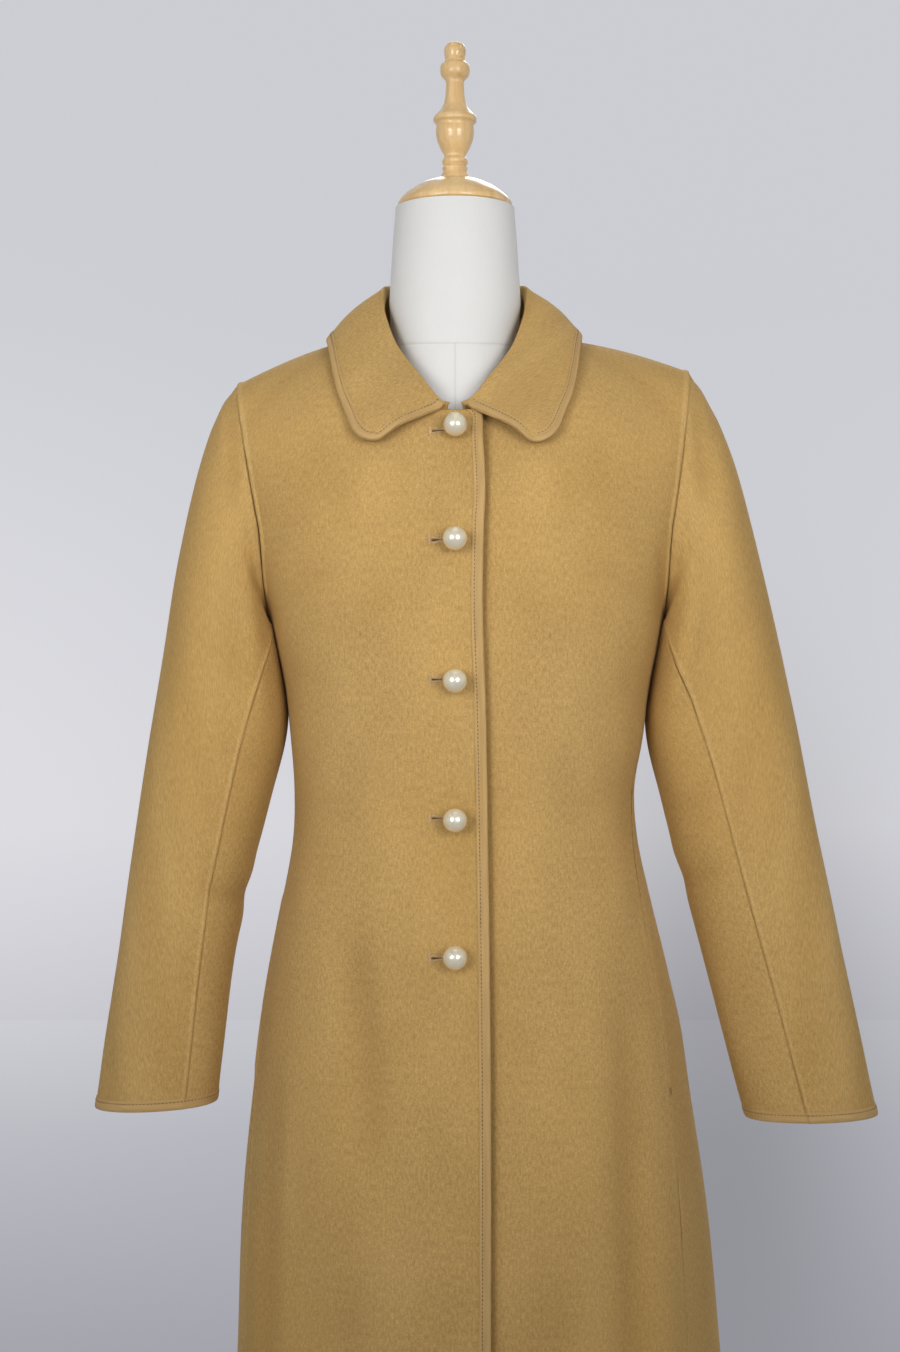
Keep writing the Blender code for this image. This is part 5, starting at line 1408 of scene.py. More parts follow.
sleeve_spans = {
    "top": (ARMHOLE_BACK_SEAM - 360.0, ARMHOLE_FRONT_SEAM, 0.285),
    "under": (ARMHOLE_FRONT_SEAM, ARMHOLE_BACK_SEAM, 0.100),
}
sleeve_rows = LAST_SECTION * steps(0.640, True, False)
sleeve_grids = {}
for side, label in SIDES:
    seams = [sleeve_line(side, ARMHOLE_FRONT_SEAM), sleeve_line(side, ARMHOLE_BACK_SEAM)]
    for cut, (start, end, width) in sleeve_spans.items():
        node = "sleeve_" + label + "_" + cut
        degrees = mix(start, end, steps(width, True, True))
        degrees[0] += PAST_SEAM
        wrapped = np.where(degrees < 0, degrees + 360.0, degrees)
        turns = sleeve_turn(side, wrapped[None, :], sleeve_rows[:, None])
        grid = sleeve_point(side, turns, np.broadcast_to(sleeve_rows[:, None], turns.shape))
        for edge, inside in ((0, 1), (-1, -2)):
            grid[:, edge] += unit(grid[:, inside] - grid[:, edge]) * SEAM_GAP / 2
        grid[0] += unit(grid[1] - grid[0]) * SEAM_GAP / 2
        points, faces = grid.reshape(-1, 3), quads(np.arange(grid.shape[0] * grid.shape[1]).reshape(grid.shape[:2]))
        first = math.radians(start)
        normals = point_normals(points, faces, np.array([0.0, -math.sin(first), math.cos(first)]))
        around = lengths(grid, 1)
        around = around - around[:, around.shape[1] // 2][:, None]
        uv = np.stack([around, -lengths(grid, 0)], axis=-1).reshape(-1, 2)
        head = away_from(points, armhole_line(side))
        rolls = seam_roll(head, welt=0.0002)
        swell = HEAD_SWELL * np.exp(-(((head - SWELL_AT) / SWELL_WIDE) ** 2))
        swell = swell * smooth((points[:, 2] - SWELL_FROM_Z) / SWELL_RISE)
        front_seam, back_seam = (away_from(points, line) for line in seams)
        rolls += seam_roll(front_seam, welt=0.0008 if cut == "top" else 0.0001, reach=0.0040)
        rolls += seam_roll(back_seam, welt=0.0005)
        folds = crease_relief(points, normals, CREASES["sleeve_" + label], True)
        folds += BACK_CREASES * crease_relief(points, normals, CREASES["sleeve_" + label], False)
        folds += pinch_relief(points, PINCHES["sleeve_" + label])
        names = ("sleeve_" + label + "_out", "sleeve_" + label + "_in")[::side]
        over = EASE_OVER + SHOULDER_EASE_OVER * smooth((points[:, 2] - SHOULDER_EASE_Z) / SHOULDER_EASE_RISE)
        ease = ease_relief(points, normals, *names) * smooth((head - EASE_FROM) / over)
        uneven = unevenness(uv, 2.0 + side) + swell
        ease -= beyond_body(points, normals, uneven + ease + rolls + folds)
        wool_piece(node, points, faces, uv, normals, uneven + ease, rolls, folds)
        sleeve_grids[node] = grid.shape[:2]
print(sleeve_grids)

# %% [markdown]
# ## Collar
# The collar is one piece sewn to the neckline. It stands up round the neck, rolls over and falls to a round-cornered
# edge. Its sections are worked out as for the solid, from a fold line and an edge line that rest just clear of the
# coat. A smooth surface through those few sections gives the soft roll that flat facets would lose.

# %% Collar
COLLAR_ROLL, ROLL_SHARE, STAND_SHARE = 0.0042, 0.42, 0.55
COLLAR_SEAM = 0.0012
BINDING_WIDTH, BINDING_CLEAR = 0.0070, 0.0005
FALL_STEPS = 4
FALL_BULGE = 0.0040
COLLAR_LIFT = 0.0060
LIFT_AT, LIFT_OVER = 4, 14
LIFT_FROM, LIFT_RISE = 0.55, 0.3
COLLAR_GRID = (220, 56)
COLLAR_UNEVEN = 0.8
COLLAR_FOLD = table(
    "share x y z",
    (0.00, 0.0100, -0.0965, 1.3048),
    (0.10, 0.0190, -0.0880, 1.3170),
    (0.20, 0.0310, -0.0730, 1.3345),
    (0.32, 0.0465, -0.0500, 1.3560),
    (0.42, 0.0560, -0.0300, 1.3800),
    (0.52, 0.0620, -0.0100, 1.4010),
    (0.62, 0.0625, 0.0130, 1.4190),
    (0.74, 0.0570, 0.0410, 1.4270),
    (0.87, 0.0350, 0.0640, 1.4310),
    (1.00, 0.0000, 0.0735, 1.4320),
)
COLLAR_EDGE = table(
    "share x y z clear",
    (0.00, 0.0620, -0.1130, 1.2755, 0.0034),
    (0.04, 0.0690, -0.1115, 1.2732, 0.0034),
    (0.09, 0.0760, -0.1080, 1.2745, 0.0034),
    (0.15, 0.0820, -0.1030, 1.2800, 0.0034),
    (0.24, 0.0880, -0.0930, 1.2930, 0.0034),
    (0.36, 0.0960, -0.0700, 1.3130, 0.0042),
    (0.50, 0.1035, -0.0350, 1.3430, 0.0056),
    (0.64, 0.1070, 0.0080, 1.3645, 0.0056),
    (0.76, 0.0980, 0.0550, 1.3680, 0.0050),
    (0.88, 0.0620, 0.0860, 1.3610, 0.0046),
    (1.00, 0.0000, 0.0960, 1.3560, 0.0040),
)
solid_front = {side: front_grids(side, SOLID_CUT) for side, _ in SIDES}
solid_back = back_grids(SOLID_CUT)
solid_under = len(SOLID_CUT["under"]) - 1


def looking_out(grids, out):
    """Points, outward faces and normals of a panel of the solid's own grid."""
    points, faces = panel_points(grids), panel_faces(grids, solid_under)
    normals = point_normals(points, faces, np.array(out))
    return points, turned_out(points, faces, normals), normals


solid_panels = [looking_out(solid_front[side], (side, -1.0, 0.0)) for side, _ in SIDES]
solid_panels.append(looking_out(solid_back, (1.0, 0.0, 0.0)))
resting = joined_tree([panel[:2] for panel in solid_panels])


def clear_of_coat(point, clearance, onto=False):
    """The point moved out to a clearance over the coat, or set exactly on it."""
    for _ in range(4):
        place, normal, _, _ = resting.find_nearest(Vector(point))
        high = (point - np.array(place)) @ np.array(normal)
        if not onto and high >= clearance:
            break
        point = point + np.array(normal) * (clearance - high)
    return point


def shoulder_normal(side):
    along = np.diff(shoulder_line(side, np.array([-1e-3, 1e-3])), axis=0)[0]
    return unit(np.cross(along, np.array([0.0, side, 0.0])))


def neck_stations():
    """Neckline points from the wearer's right front end round the back to the left, with their frames."""
    shoulder = len(SOLID_CUT["shoulder"]) - 1
    count = len(NECK_TURNS)
    neck, behind = slice(shoulder, shoulder + count), slice(shoulder + 1, -shoulder - 1)

    def along(right, left, middle):
        return np.concatenate([right[neck][::-1], middle[behind][::-1], left[neck]])

    tops = [grids[1][-1] for grids in (solid_front[RIGHT], solid_front[LEFT], solid_back)]
    looks = [panel[2][-len(top):] for panel, top in zip(solid_panels, tops)]
    whole, normals = along(*tops), along(*looks)
    walked = lengths(whole, 0)
    half = len(whole) // 2
    back_again = (walked[-1] - walked[half + 1:]) / (walked[-1] - walked[half])
    shares = np.concatenate([walked[:half + 1] / walked[half], back_again])
    sides = np.where(np.arange(len(whole)) <= half, RIGHT, LEFT)
    for side, place in ((RIGHT, count - 1), (LEFT, -count)):
        normals[place] = shoulder_normal(side)
    toward = unit(np.cross(normals, np.gradient(whole, axis=0)))
    inward = np.sum(toward * whole * (-1, -1, 0), axis=1, keepdims=True)
    return whole, sides, shares, normals, toward * np.sign(inward)


fold_line = curves(COLLAR_FOLD, "share")
outer_edge = curves(COLLAR_EDGE, "share")


def collar_section(base, side, share, normal, toward):
    """Visible face of the collar at one station: stand, roll and fall."""
    start = base + toward * (COLLAR_SEAM + CLOTH) - normal * CLOTH * 0.5
    top = np.array([side * fold_line["x"](share), fold_line["y"](share), fold_line["z"](share)])
    rest = np.array([side * outer_edge["x"](share), outer_edge["y"](share), outer_edge["z"](share)])
    clear = CLOTH + outer_edge["clear"](share)
    rest = clear_of_coat(rest, clear, onto=True)
    out = unit(rest - top)
    rise = unit(top - start)
    roll = min(COLLAR_ROLL, ROLL_SHARE * np.linalg.norm(top - start))
    across = unit(out - (out @ rise) * rise)
    before = top - across * roll - rise * roll
    after = clear_of_coat(top + across * roll - rise * roll, clear)
    section = [start, mix(start, before, STAND_SHARE), before, top, after]
    lift = unit(np.cross(np.cross(out, rise), out))
    bound = 1 - (BINDING_WIDTH + BINDING_CLEAR) / np.linalg.norm(rest - after)
    for t in (*np.linspace(0.0, bound, FALL_STEPS)[1:], 1.0):
        point = mix(after, rest, t) + lift * FALL_BULGE * math.sin(math.pi * t)
        section.append(clear_of_coat(point, clear))
    return section


def mean_knots(grid):
    """The distance from row to row of a grid, on average, added up."""
    gaps = np.linalg.norm(np.diff(grid, axis=0), axis=-1).reshape(len(grid) - 1, -1).mean(axis=1)
    return np.concatenate([[0.0], np.cumsum(gaps)])


def refined(grid, counts):
    """A smooth surface through a grid of points, with more rows and columns."""
    for axis, count in enumerate(counts):
        grid = np.moveaxis(grid, axis, 0)
        knots = mean_knots(grid)
        grid = np.moveaxis(curve(knots, grid)(np.linspace(0.0, knots[-1], count)), 0, axis)
    return grid


stations = neck_stations()
collar_grid = refined(np.array([collar_section(*station) for station in zip(*stations)]), COLLAR_GRID)
rows, columns = collar_grid.shape[:2]
points = collar_grid.reshape(-1, 3)
faces = quads(np.arange(len(points)).reshape(rows, columns))
normals = point_normals(points, faces, stations[4][0])
uv = np.stack([lengths(collar_grid, 0), lengths(collar_grid, 1)], axis=-1).reshape(-1, 2)
ends = np.minimum(np.arange(rows), np.arange(rows)[::-1])[:, None]
falling = smooth((np.arange(columns) - columns * LIFT_FROM) / (columns * LIFT_RISE))[None, :]
lift = (COLLAR_LIFT * np.exp(-(((ends - LIFT_AT) / LIFT_OVER) ** 2)) * falling).ravel()
wool_piece("collar", points, faces, uv, normals, unevenness(uv, 7.0) * COLLAR_UNEVEN + lift)
print("collar edge:", round(float(lengths(collar_grid, 0)[-1, -1]), 3), "m round")

# %% [markdown]
# ## Bindings
# A bound edge is a strip folded over the raw edge and sewn through. Its section is a narrow U with a rounded nose,
# carried along the edge: at each step of the edge it takes the cloth's own direction, so it hugs the cloth as it turns.
# The collar, the lapped front edge and the two cuffs are bound in this way.

# %% Bindings
STRIP_WALL = 0.0006
STRIP_GAP = 0.00012
STRIP_PUFF, PUFF_ROUND, LIP_PUFF = 0.00032, 0.6, 0.7
STRIP_NOSE = 0.00030
STRIP_WIDTH = 0.0086
STITCH_IN = 0.0060
STRIP_STATIONS = (STRIP_WIDTH, 0.0083, 0.0078, 0.0072, 0.0066, 0.0062, STITCH_IN, 0.0058,
                  0.0054, 0.0047, 0.0037, 0.0026, 0.0015, 0.0006, 0.0)


def strip_section():
    """Inner skin and outer skin of a folded strip, as distances in from the edge and above the cloth."""
    reach = np.array(STRIP_STATIONS)
    nose = np.radians(np.linspace(90.0, 270.0, 11))[1:-1]
    pad = np.sin(math.pi * np.clip(reach / STITCH_IN, 0.0, 1.0))
    lip = np.sin(math.pi * np.clip((reach - STITCH_IN) / (STRIP_WIDTH - STITCH_IN), 0.0, 1.0))
    puff = STRIP_PUFF * (np.maximum(pad, 0.0) ** PUFF_ROUND + LIP_PUFF * np.maximum(lip, 0.0) ** PUFF_ROUND)

    def skin(lift, swell):
        radius = CLOTH / 2 + lift
        top = np.stack([reach, lift + swell], axis=1)
        turn = np.stack([(lift + STRIP_NOSE) * np.cos(nose), -CLOTH / 2 + radius * np.sin(nose)], axis=1)
        bottom = np.stack([reach[::-1], -CLOTH - lift - swell[::-1]], axis=1)
        return np.concatenate([top, turn, bottom])

    outer = skin(STRIP_GAP + STRIP_WALL, puff)
    inner = skin(STRIP_GAP, 0 * puff)
    return np.concatenate([outer, inner[::-1]])


def blurred(lines, passes, ring=False):
    """A line of vectors with its turns softened."""
    for _ in range(passes):
        if ring:
            lines = (np.roll(lines, 1, axis=0) + 2 * lines + np.roll(lines, -1, axis=0)) / 4
        else:
            lines = np.concatenate([lines[:1], (lines[:-2] + 2 * lines[1:-1] + lines[2:]) / 4, lines[-1:]])
    return lines


def strip_piece(node, edge, inward, normals, ring=False):
    """A folded strip along an edge."""
    inward = unit(inward - np.sum(inward * normals, axis=1, keepdims=True) * normals)
    section = strip_section()
    grid = edge[:, None] + inward[:, None] * section[:, :1] + normals[:, None] * section[:, 1:]
    count, corners = grid.shape[:2]
    numbers = ring_numbers(count, corners)
    faces = quads(np.concatenate([numbers, numbers[:1]]) if ring else numbers).tolist()
    if not ring:
        half = corners // 2
        for row in (0, count - 1):
            for place in range(half - 1):
                faces.append([int(numbers[row, corner]) for corner in
                              (place, place + 1, corners - 2 - place, corners - 1 - place)])
    along, around = lengths(edge, 0), lengths(section, 0)
    uv = np.stack(np.broadcast_arrays(around[None, :], along[:, None]), axis=-1).reshape(-1, 2)
    piece = new_piece("strip_" + node, grid.reshape(-1, 3), faces, binding, uv)
    outward(piece.data)
    cloth_pieces[node] = {"piece": piece, "wide": around[len(section) // 2 - 1], "long": along[-1]}
    return inward


def grid_of(node, shape):
    made = cloth_pieces[node]
    return made["outer"].reshape(*shape, 3), made["normals"].reshape(*shape, 3)


bound_edges = {}

lower_shape = fine_front[RIGHT][0].shape[:2]
upper_shape = fine_front[RIGHT][1].shape[:2]
front_made = cloth_pieces["front_right"]


def front_column(values, column):
    """One column of the right front, from the hem to the neckline."""
    low = values[:lower_shape[0] * lower_shape[1]].reshape(*lower_shape, 3)
    high = values[lower_shape[0] * lower_shape[1]:].reshape(-1, upper_shape[1], 3)
    return np.concatenate([low[:, column], high[:, column]])


INSIDE_STEPS = 5
STRIP_STOP = 4
edge = front_column(front_made["outer"], -1)[:-STRIP_STOP]
inward = front_column(front_made["outer"], -1 - INSIDE_STEPS)[:-STRIP_STOP] - edge
looks = blurred(front_column(front_made["normals"], -2)[:-STRIP_STOP], 6)
bound_edges["front"] = (edge, strip_piece("binding_front", edge, inward, unit(looks)), unit(looks), False)

collar_points, collar_normals = grid_of("collar", (rows, columns))
FALL_START = 20
SECTION_IN = 4
path = [((0, k), (SECTION_IN, k)) for k in range(FALL_START, columns - 1)]
path += [((i, columns - 1), (min(max(i, SECTION_IN), rows - 1 - SECTION_IN), columns - 1 - SECTION_IN))
         for i in range(rows)]
path += [((rows - 1, k), (rows - 1 - SECTION_IN, k)) for k in range(columns - 2, FALL_START - 1, -1)]
edge = np.array([collar_points[place] for place, _ in path])
inward = blurred(unit(np.array([collar_points[inside] - collar_points[place] for place, inside in path])), 10)
looks = unit(blurred(np.array([collar_normals[inside] for _, inside in path]), 10))
edge = blurred(edge, 4)
bound_edges["collar"] = (edge, strip_piece("binding_collar", edge, inward, looks), looks, False)

for side, label in SIDES:
    around = [grid_of("sleeve_" + label + "_" + cut, sleeve_grids["sleeve_" + label + "_" + cut])
              for cut in ("top", "under")]
    edge = np.concatenate([outer[-1] for outer, _ in around])
    above = np.concatenate([outer[-3] for outer, _ in around])
    looks = np.concatenate([normals[-1] for _, normals in around])
    looks = unit(blurred(looks, 8, ring=True))
    edge, inward = blurred(edge, 3, ring=True), blurred(unit(above - edge), 8, ring=True)
    inward = strip_piece("binding_cuff_" + label, edge, inward, looks, ring=True)
    bound_edges["cuff_" + label] = (edge, inward, looks, True)
print({name: len(edge[0]) for name, edge in bound_edges.items()})

# %% [markdown]
# ## Stitches
# Each binding is sewn through near its inner edge with a short, even stitch. Hundreds of equal things on a path are
# work for Geometry Nodes: the path is resampled at the stitch length, a small rounded thread is put on every point,
# turned along the path and laid flat on the cloth. The same tree sews the buttonholes, with the threads turned across.

# %% Stitch tree
STITCH_INPUTS = (("Pitch", "NodeSocketFloat", 0.0025), ("Length", "NodeSocketFloat", 0.0019),
                 ("Thread", "NodeSocketFloat", 0.00045), ("Turn", "NodeSocketFloat", 0.0),
                 ("Seed", "NodeSocketInt", 3), ("Finish", "NodeSocketMaterial", None))

stitch_tree = bpy.data.node_groups.new("stitches_on_a_path", "GeometryNodeTree")
stitch_tree.interface.new_socket(name="Path", in_out="INPUT", socket_type="NodeSocketGeometry")
stitch_tree.interface.new_socket(name="Stitches", in_out="OUTPUT", socket_type="NodeSocketGeometry")
for name, kind, value in STITCH_INPUTS:
    socket = stitch_tree.interface.new_socket(name=name, in_out="INPUT", socket_type=kind)
    if value is not None:
        socket.default_value = value


def tree_node(kind, settings=None, links=None):
    return add_node(stitch_tree, kind, settings, links)


given = stitch_tree.nodes.new("NodeGroupInput")
line = tree_node("GeometryNodeMeshToCurve", None, {0: given.outputs["Path"]})
spaced = tree_node("GeometryNodeResampleCurve", {"mode": "LENGTH"},
                   {"Curve": line.outputs[0], "Length": given.outputs["Pitch"]})
tangent = tree_node("GeometryNodeInputTangent")
facing = tree_node("GeometryNodeInputNamedAttribute", {"data_type": "FLOAT_VECTOR"}, {"Name": "facing"})
laid = tree_node("FunctionNodeAxesToRotation", {"primary_axis": "Z", "secondary_axis": "X"},
                 {0: facing.outputs[0], 1: tangent.outputs[0]})
swing = tree_node("FunctionNodeAxisAngleToRotation", None, {"Axis": (0.0, 0.0, 1.0), "Angle": given.outputs["Turn"]})
turned_thread = tree_node("FunctionNodeRotateRotation", {"rotation_space": "LOCAL"},
                          {0: laid.outputs[0], 1: swing.outputs[0]})
bead = tree_node("GeometryNodeMeshUVSphere", None, {"Segments": 6, "Rings": 4, "Radius": 0.5})
size = tree_node("ShaderNodeCombineXYZ", None,
                 {0: given.outputs["Length"], 1: given.outputs["Thread"], 2: given.outputs["Thread"]})
shaped = tree_node("GeometryNodeTransform", None, {"Geometry": bead.outputs[0], "Scale": size.outputs[0]})
varied = tree_node("FunctionNodeRandomValue", {"data_type": "FLOAT"}, {2: 0.88, 3: 1.08, "Seed": given.outputs["Seed"]})
placed = tree_node("GeometryNodeInstanceOnPoints", None, {
    "Points": spaced.outputs[0], "Instance": shaped.outputs[0],
    "Rotation": turned_thread.outputs[0], "Scale": varied.outputs[1]})
real = tree_node("GeometryNodeRealizeInstances", None, {0: placed.outputs[0]})
soft = tree_node("GeometryNodeSetShadeSmooth", None, {0: real.outputs[0]})
coloured = tree_node("GeometryNodeSetMaterial", None,
                     {"Geometry": soft.outputs[0], "Material": given.outputs["Finish"]})
result = stitch_tree.nodes.new("NodeGroupOutput")
stitch_tree.links.new(coloured.outputs[0], result.inputs[0])
stitch_names = {item.name: item.identifier for item in stitch_tree.interface.items_tree if item.in_out == "INPUT"}


def apply_modifiers(piece):
    """Give a piece the plain mesh that its modifiers make."""
    graph = bpy.context.evaluated_depsgraph_get()
    mesh = bpy.data.meshes.new_from_object(piece.evaluated_get(graph), depsgraph=graph)
    piece.modifiers.clear()
    piece.data = mesh
    return mesh


def sew(name, paths, **inputs):
    """Stitches along paths of points with the direction the cloth faces, as one plain mesh."""
    points, faces_out, edges = [], [], []
    for line, looks, ring in paths:
        first = len(points)
        points += line.tolist()
        faces_out += looks.tolist()
        edges += [(first + i, first + i + 1) for i in range(len(line) - 1)]
        if ring:
            edges.append((first + len(line) - 1, first))
    mesh = bpy.data.meshes.new(name + "_path")
    mesh.from_pydata(points, edges, [])
    facing_data = mesh.attributes.new("facing", "FLOAT_VECTOR", "POINT")
    facing_data.data.foreach_set("vector", np.array(faces_out, np.float32).ravel())
    piece = bpy.data.objects.new(name, mesh)
    sewing = piece.modifiers.new("sewing", "NODES")
    sewing.node_group = stitch_tree
    for title, value in {"Finish": thread.material, **inputs}.items():
        sewing[stitch_names[title]] = value
    coat.objects.link(piece)
    made = apply_modifiers(piece)
    made.name = name
    if "facing" in made.attributes:
        made.attributes.remove(made.attributes["facing"])
    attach(piece, "root")
    return piece


STITCH_PROUD, THREAD_POINTS = 0.00012, 20
STITCH_HIGH = STRIP_GAP + STRIP_WALL + STITCH_PROUD
for name, (edge, inward, looks, ring) in bound_edges.items():
    outside = edge + inward * STITCH_IN + looks * STITCH_HIGH
    inside = edge + inward * STITCH_IN - looks * (CLOTH + STITCH_HIGH)
    sew("stitches_" + name, [(outside, looks, ring), (inside, -looks, ring)],
                     Pitch=0.0032, Length=0.0022, Thread=0.00085, Turn=0.0, Seed=3)

# %% [markdown]
# ## Buttonholes and pearls
# Five worked buttonholes lie across the lapped edge: a slit through the cloth, bound all round with close threads and
# closed by a bar at its inner end. The slits are cut with one Boolean, and the stitch tree sews round them.
# The pearls are round balls on a short thread shank, each pulled to the outer end of its hole.

# %% Buttonholes and pearls
BUTTON_HEIGHTS = (1.2815, 1.1900, 1.0770, 0.9640, 0.8520)
BALL_RADIUS = 0.0100
BALL_LIFT = 0.0010
SHANK_RADIUS, SHANK_PAD, SHANK_DEEP = 0.0008, 0.0016, 0.0034
HOLE_LONG, HOLE_WIDE = 0.0240, 0.0014
HOLE_CENTRE = -0.0085
HOLE_THREAD, THREAD_OUT = 0.0024, 0.14
HOLE_EYE = 0.0007
HOLE_FLARE, FLARE_FROM, FLARE_OVER = 0.0012, -0.3, 0.8
HOLE_DEEP = 0.008
EYE_WIDE = 0.0016
THREAD_LIFT = 0.00025
BAR_HALF, BAR_BEYOND, BAR_LIFT = 0.0034, 0.0004, 0.0006

lap_tree = BVHTree.FromPolygons(front_made["outer"].tolist(), front_made["faces"].tolist())


def on_lap(x, z):
    """Place and outward direction on the right front."""
    place, normal, _, _ = lap_tree.ray_cast(Vector((x, -1.0, z)), Vector((0.0, 1.0, 0.0)))
    normal = np.array(normal)
    return np.array(place), normal if normal[1] < 0 else -normal


def lap_path(spots, lift, ring):
    """A path over spots of the lap, with the direction the cloth faces."""
    places, looks = (np.array(values) for values in zip(*(on_lap(x, z) for x, z in spots)))
    return places + looks * lift, looks, ring


def box_points(height):
    place, normal = on_lap(HOLE_CENTRE, height)
    up = unit(np.cross((1.0, 0.0, 0.0), normal))
    up = up if up[2] > 0 else -up
    corners = []
    for deep in (-HOLE_DEEP, HOLE_DEEP):
        for x, z in ((-1, -1), (1, -1), (1, 1), (-1, 1)):
            corners.append(place + normal * deep + np.array([x * HOLE_LONG / 2, 0.0, 0.0]) + up * z * HOLE_WIDE / 2)
    return corners


def hole_path(height):
    """A long loop round a slit."""
    half, wide = HOLE_LONG / 2 - HOLE_WIDE, HOLE_WIDE / 2 + HOLE_THREAD * THREAD_OUT
    turn = np.linspace(-90.0, 90.0, 9)
    right = [(half + wide * math.cos(math.radians(t)), wide * math.sin(math.radians(t))) for t in turn]
    straight = np.linspace(half, -half, 24)
    loop = right + [(x, wide) for x in straight[1:-1]]
    loop += [(-x, -z) for x, z in right] + [(-x, -wide) for x in straight[1:-1]]
    loop = [(x, z + math.copysign(HOLE_EYE, z) * math.exp(-(((x + HOLE_CENTRE) / EYE_WIDE) ** 2))) for x, z in loop]
    flare = [float(smooth((FLARE_FROM * half - x) / (FLARE_OVER * half))) for x, _ in loop]
    loop = [(x, z + math.copysign(HOLE_FLARE, z) * wider) for (x, z), wider in zip(loop, flare)]
    return lap_path([(HOLE_CENTRE + x, height + z) for x, z in loop], THREAD_LIFT, True)


def bar_path(height):
    """The short bar across the inner end of a hole."""
    x = HOLE_CENTRE - HOLE_LONG / 2 - BAR_BEYOND
    return lap_path([(x, height + z) for z in np.linspace(-BAR_HALF, BAR_HALF, 11)], BAR_LIFT, False)


slits = bpy.data.meshes.new("slits")
corner_faces = [(0, 1, 2, 3), (4, 5, 6, 7), (0, 1, 5, 4), (1, 2, 6, 5), (2, 3, 7, 6), (3, 0, 4, 7)]
slits.from_pydata([corner for height in BUTTON_HEIGHTS for corner in box_points(height)], [],
                  [[8 * i + corner for corner in face] for i in range(len(BUTTON_HEIGHTS)) for face in corner_faces])
outward(slits)
cutter = bpy.data.objects.new("slits", slits)
bpy.context.scene.collection.objects.link(cutter)
front = front_made["piece"]
cut = front.modifiers.new("slits", "BOOLEAN")
cut.operation = "DIFFERENCE"
cut.solver = "EXACT"
cut.object = cutter
apply_modifiers(front)
bpy.data.objects.remove(cutter, do_unlink=True)

holes = sew("buttonhole_threads", [hole_path(height) for height in BUTTON_HEIGHTS],
            Pitch=0.00060, Length=HOLE_THREAD, Thread=0.00066, Turn=math.pi / 2, Seed=5, Finish=purl.material)
bars = sew("buttonhole_bars", [bar_path(height) for height in BUTTON_HEIGHTS],
           Pitch=0.00050, Length=0.0022, Thread=0.00062, Turn=math.pi / 2, Seed=7, Finish=purl.material)


def turned_mesh(profile, steps, centre, axis):
    """Points and faces of a profile of radius and height turned about an axis, its ends on the axis."""
    axis = unit(np.asarray(axis, float))
    side = unit(np.cross(axis, (1.0, 0.0, 0.0) if abs(axis[0]) < 0.9 else (0.0, 1.0, 0.0)))
    other = np.cross(axis, side)
    angle = np.arange(steps) * 2 * math.pi / steps
    ring = np.cos(angle)[:, None] * side + np.sin(angle)[:, None] * other
    rows = [centre + radius * ring + high * axis for radius, high in profile[1:-1]]
    points = np.concatenate([[centre + profile[0][1] * axis], *rows, [centre + profile[-1][1] * axis]])
    numbers = 1 + ring_numbers(len(rows), steps)
    faces = quads(numbers).tolist()
    faces += [[0, int(a), int(b)] for a, b in zip(numbers[0, 1:], numbers[0, :-1])]
    last = len(points) - 1
    faces += [[last, int(a), int(b)] for a, b in zip(numbers[-1, :-1], numbers[-1, 1:])]
    return points, faces


BALL_TURNS = np.linspace(0.0, math.pi - math.asin(SHANK_RADIUS / BALL_RADIUS), 28)
ball_profile = [(BALL_RADIUS * math.sin(t), BALL_LIFT + BALL_RADIUS * (1 + math.cos(t))) for t in BALL_TURNS]
ball_profile += [(SHANK_RADIUS, 0.0), (SHANK_RADIUS * 1.25, -SHANK_PAD), (SHANK_RADIUS, -SHANK_DEEP),
                 (0.0, -SHANK_DEEP)]
for number, high in enumerate(BUTTON_HEIGHTS, start=1):
    place, look = on_lap(0.0, high)
    button = new_piece("pearl_" + str(number), *turned_mesh(ball_profile, 48, place, look), pearl)
    outward(button.data)
    settle(button, "button_" + str(number))
print("pearls:", len(BUTTON_HEIGHTS), "front faces after the slits:", len(front.data.polygons))

# %% [markdown]
# ## Bar tacks at the pockets
# A pocket left open in a side seam would tear at its ends, so each end is closed with a bar tack: a few close
# stitches across the seam. The stitch tree makes them too, on a short path along the seam.

# %% Bar tacks
TACK_LONG, TACK_LIFT = 0.0050, 0.0009


def tack_path(side, height):
    """A short upright path on the front lip of a side seam."""
    heights = np.linspace(height - TACK_LONG / 2, height + TACK_LONG / 2, 7)
    made = cloth_pieces["front_" + SIDE_NAMES[side]]
    seam = body_point(side_angle(side, heights), heights)
    near = [int(np.argmin(np.sum((made["outer"] - place) ** 2, axis=1))) for place in seam]
    looks = unit(made["normals"][near].mean(axis=0))
    line = seam + looks * TACK_LIFT
    return line, np.repeat(looks[None], len(line), axis=0), False


tacks = sew("pocket_tacks", [tack_path(side, height) for side, _ in SIDES for height in (POCKET_LOW, POCKET_HIGH)],
            Pitch=0.0008, Length=0.0046, Thread=0.0008, Turn=math.pi / 2, Seed=9)
for side, label in SIDES:
    spot = body_point(side_angle(side, POCKET_HIGH), POCKET_HIGH)
    print("pocket top,", label, "side:", [round(float(value), 3) for value in np.ravel(spot)])

# %% [markdown]
# ## Dress form
# A smooth, limbless torso fills the coat and its neck shows above the collar. Rings of the torso run up to a ring just
# inside the neckline and on into the neck, and every point is drawn in until it is clear of the cloth.
# Its cover is sewn with a seam down the centre front and one round the root of the neck, which show as fine grooves.

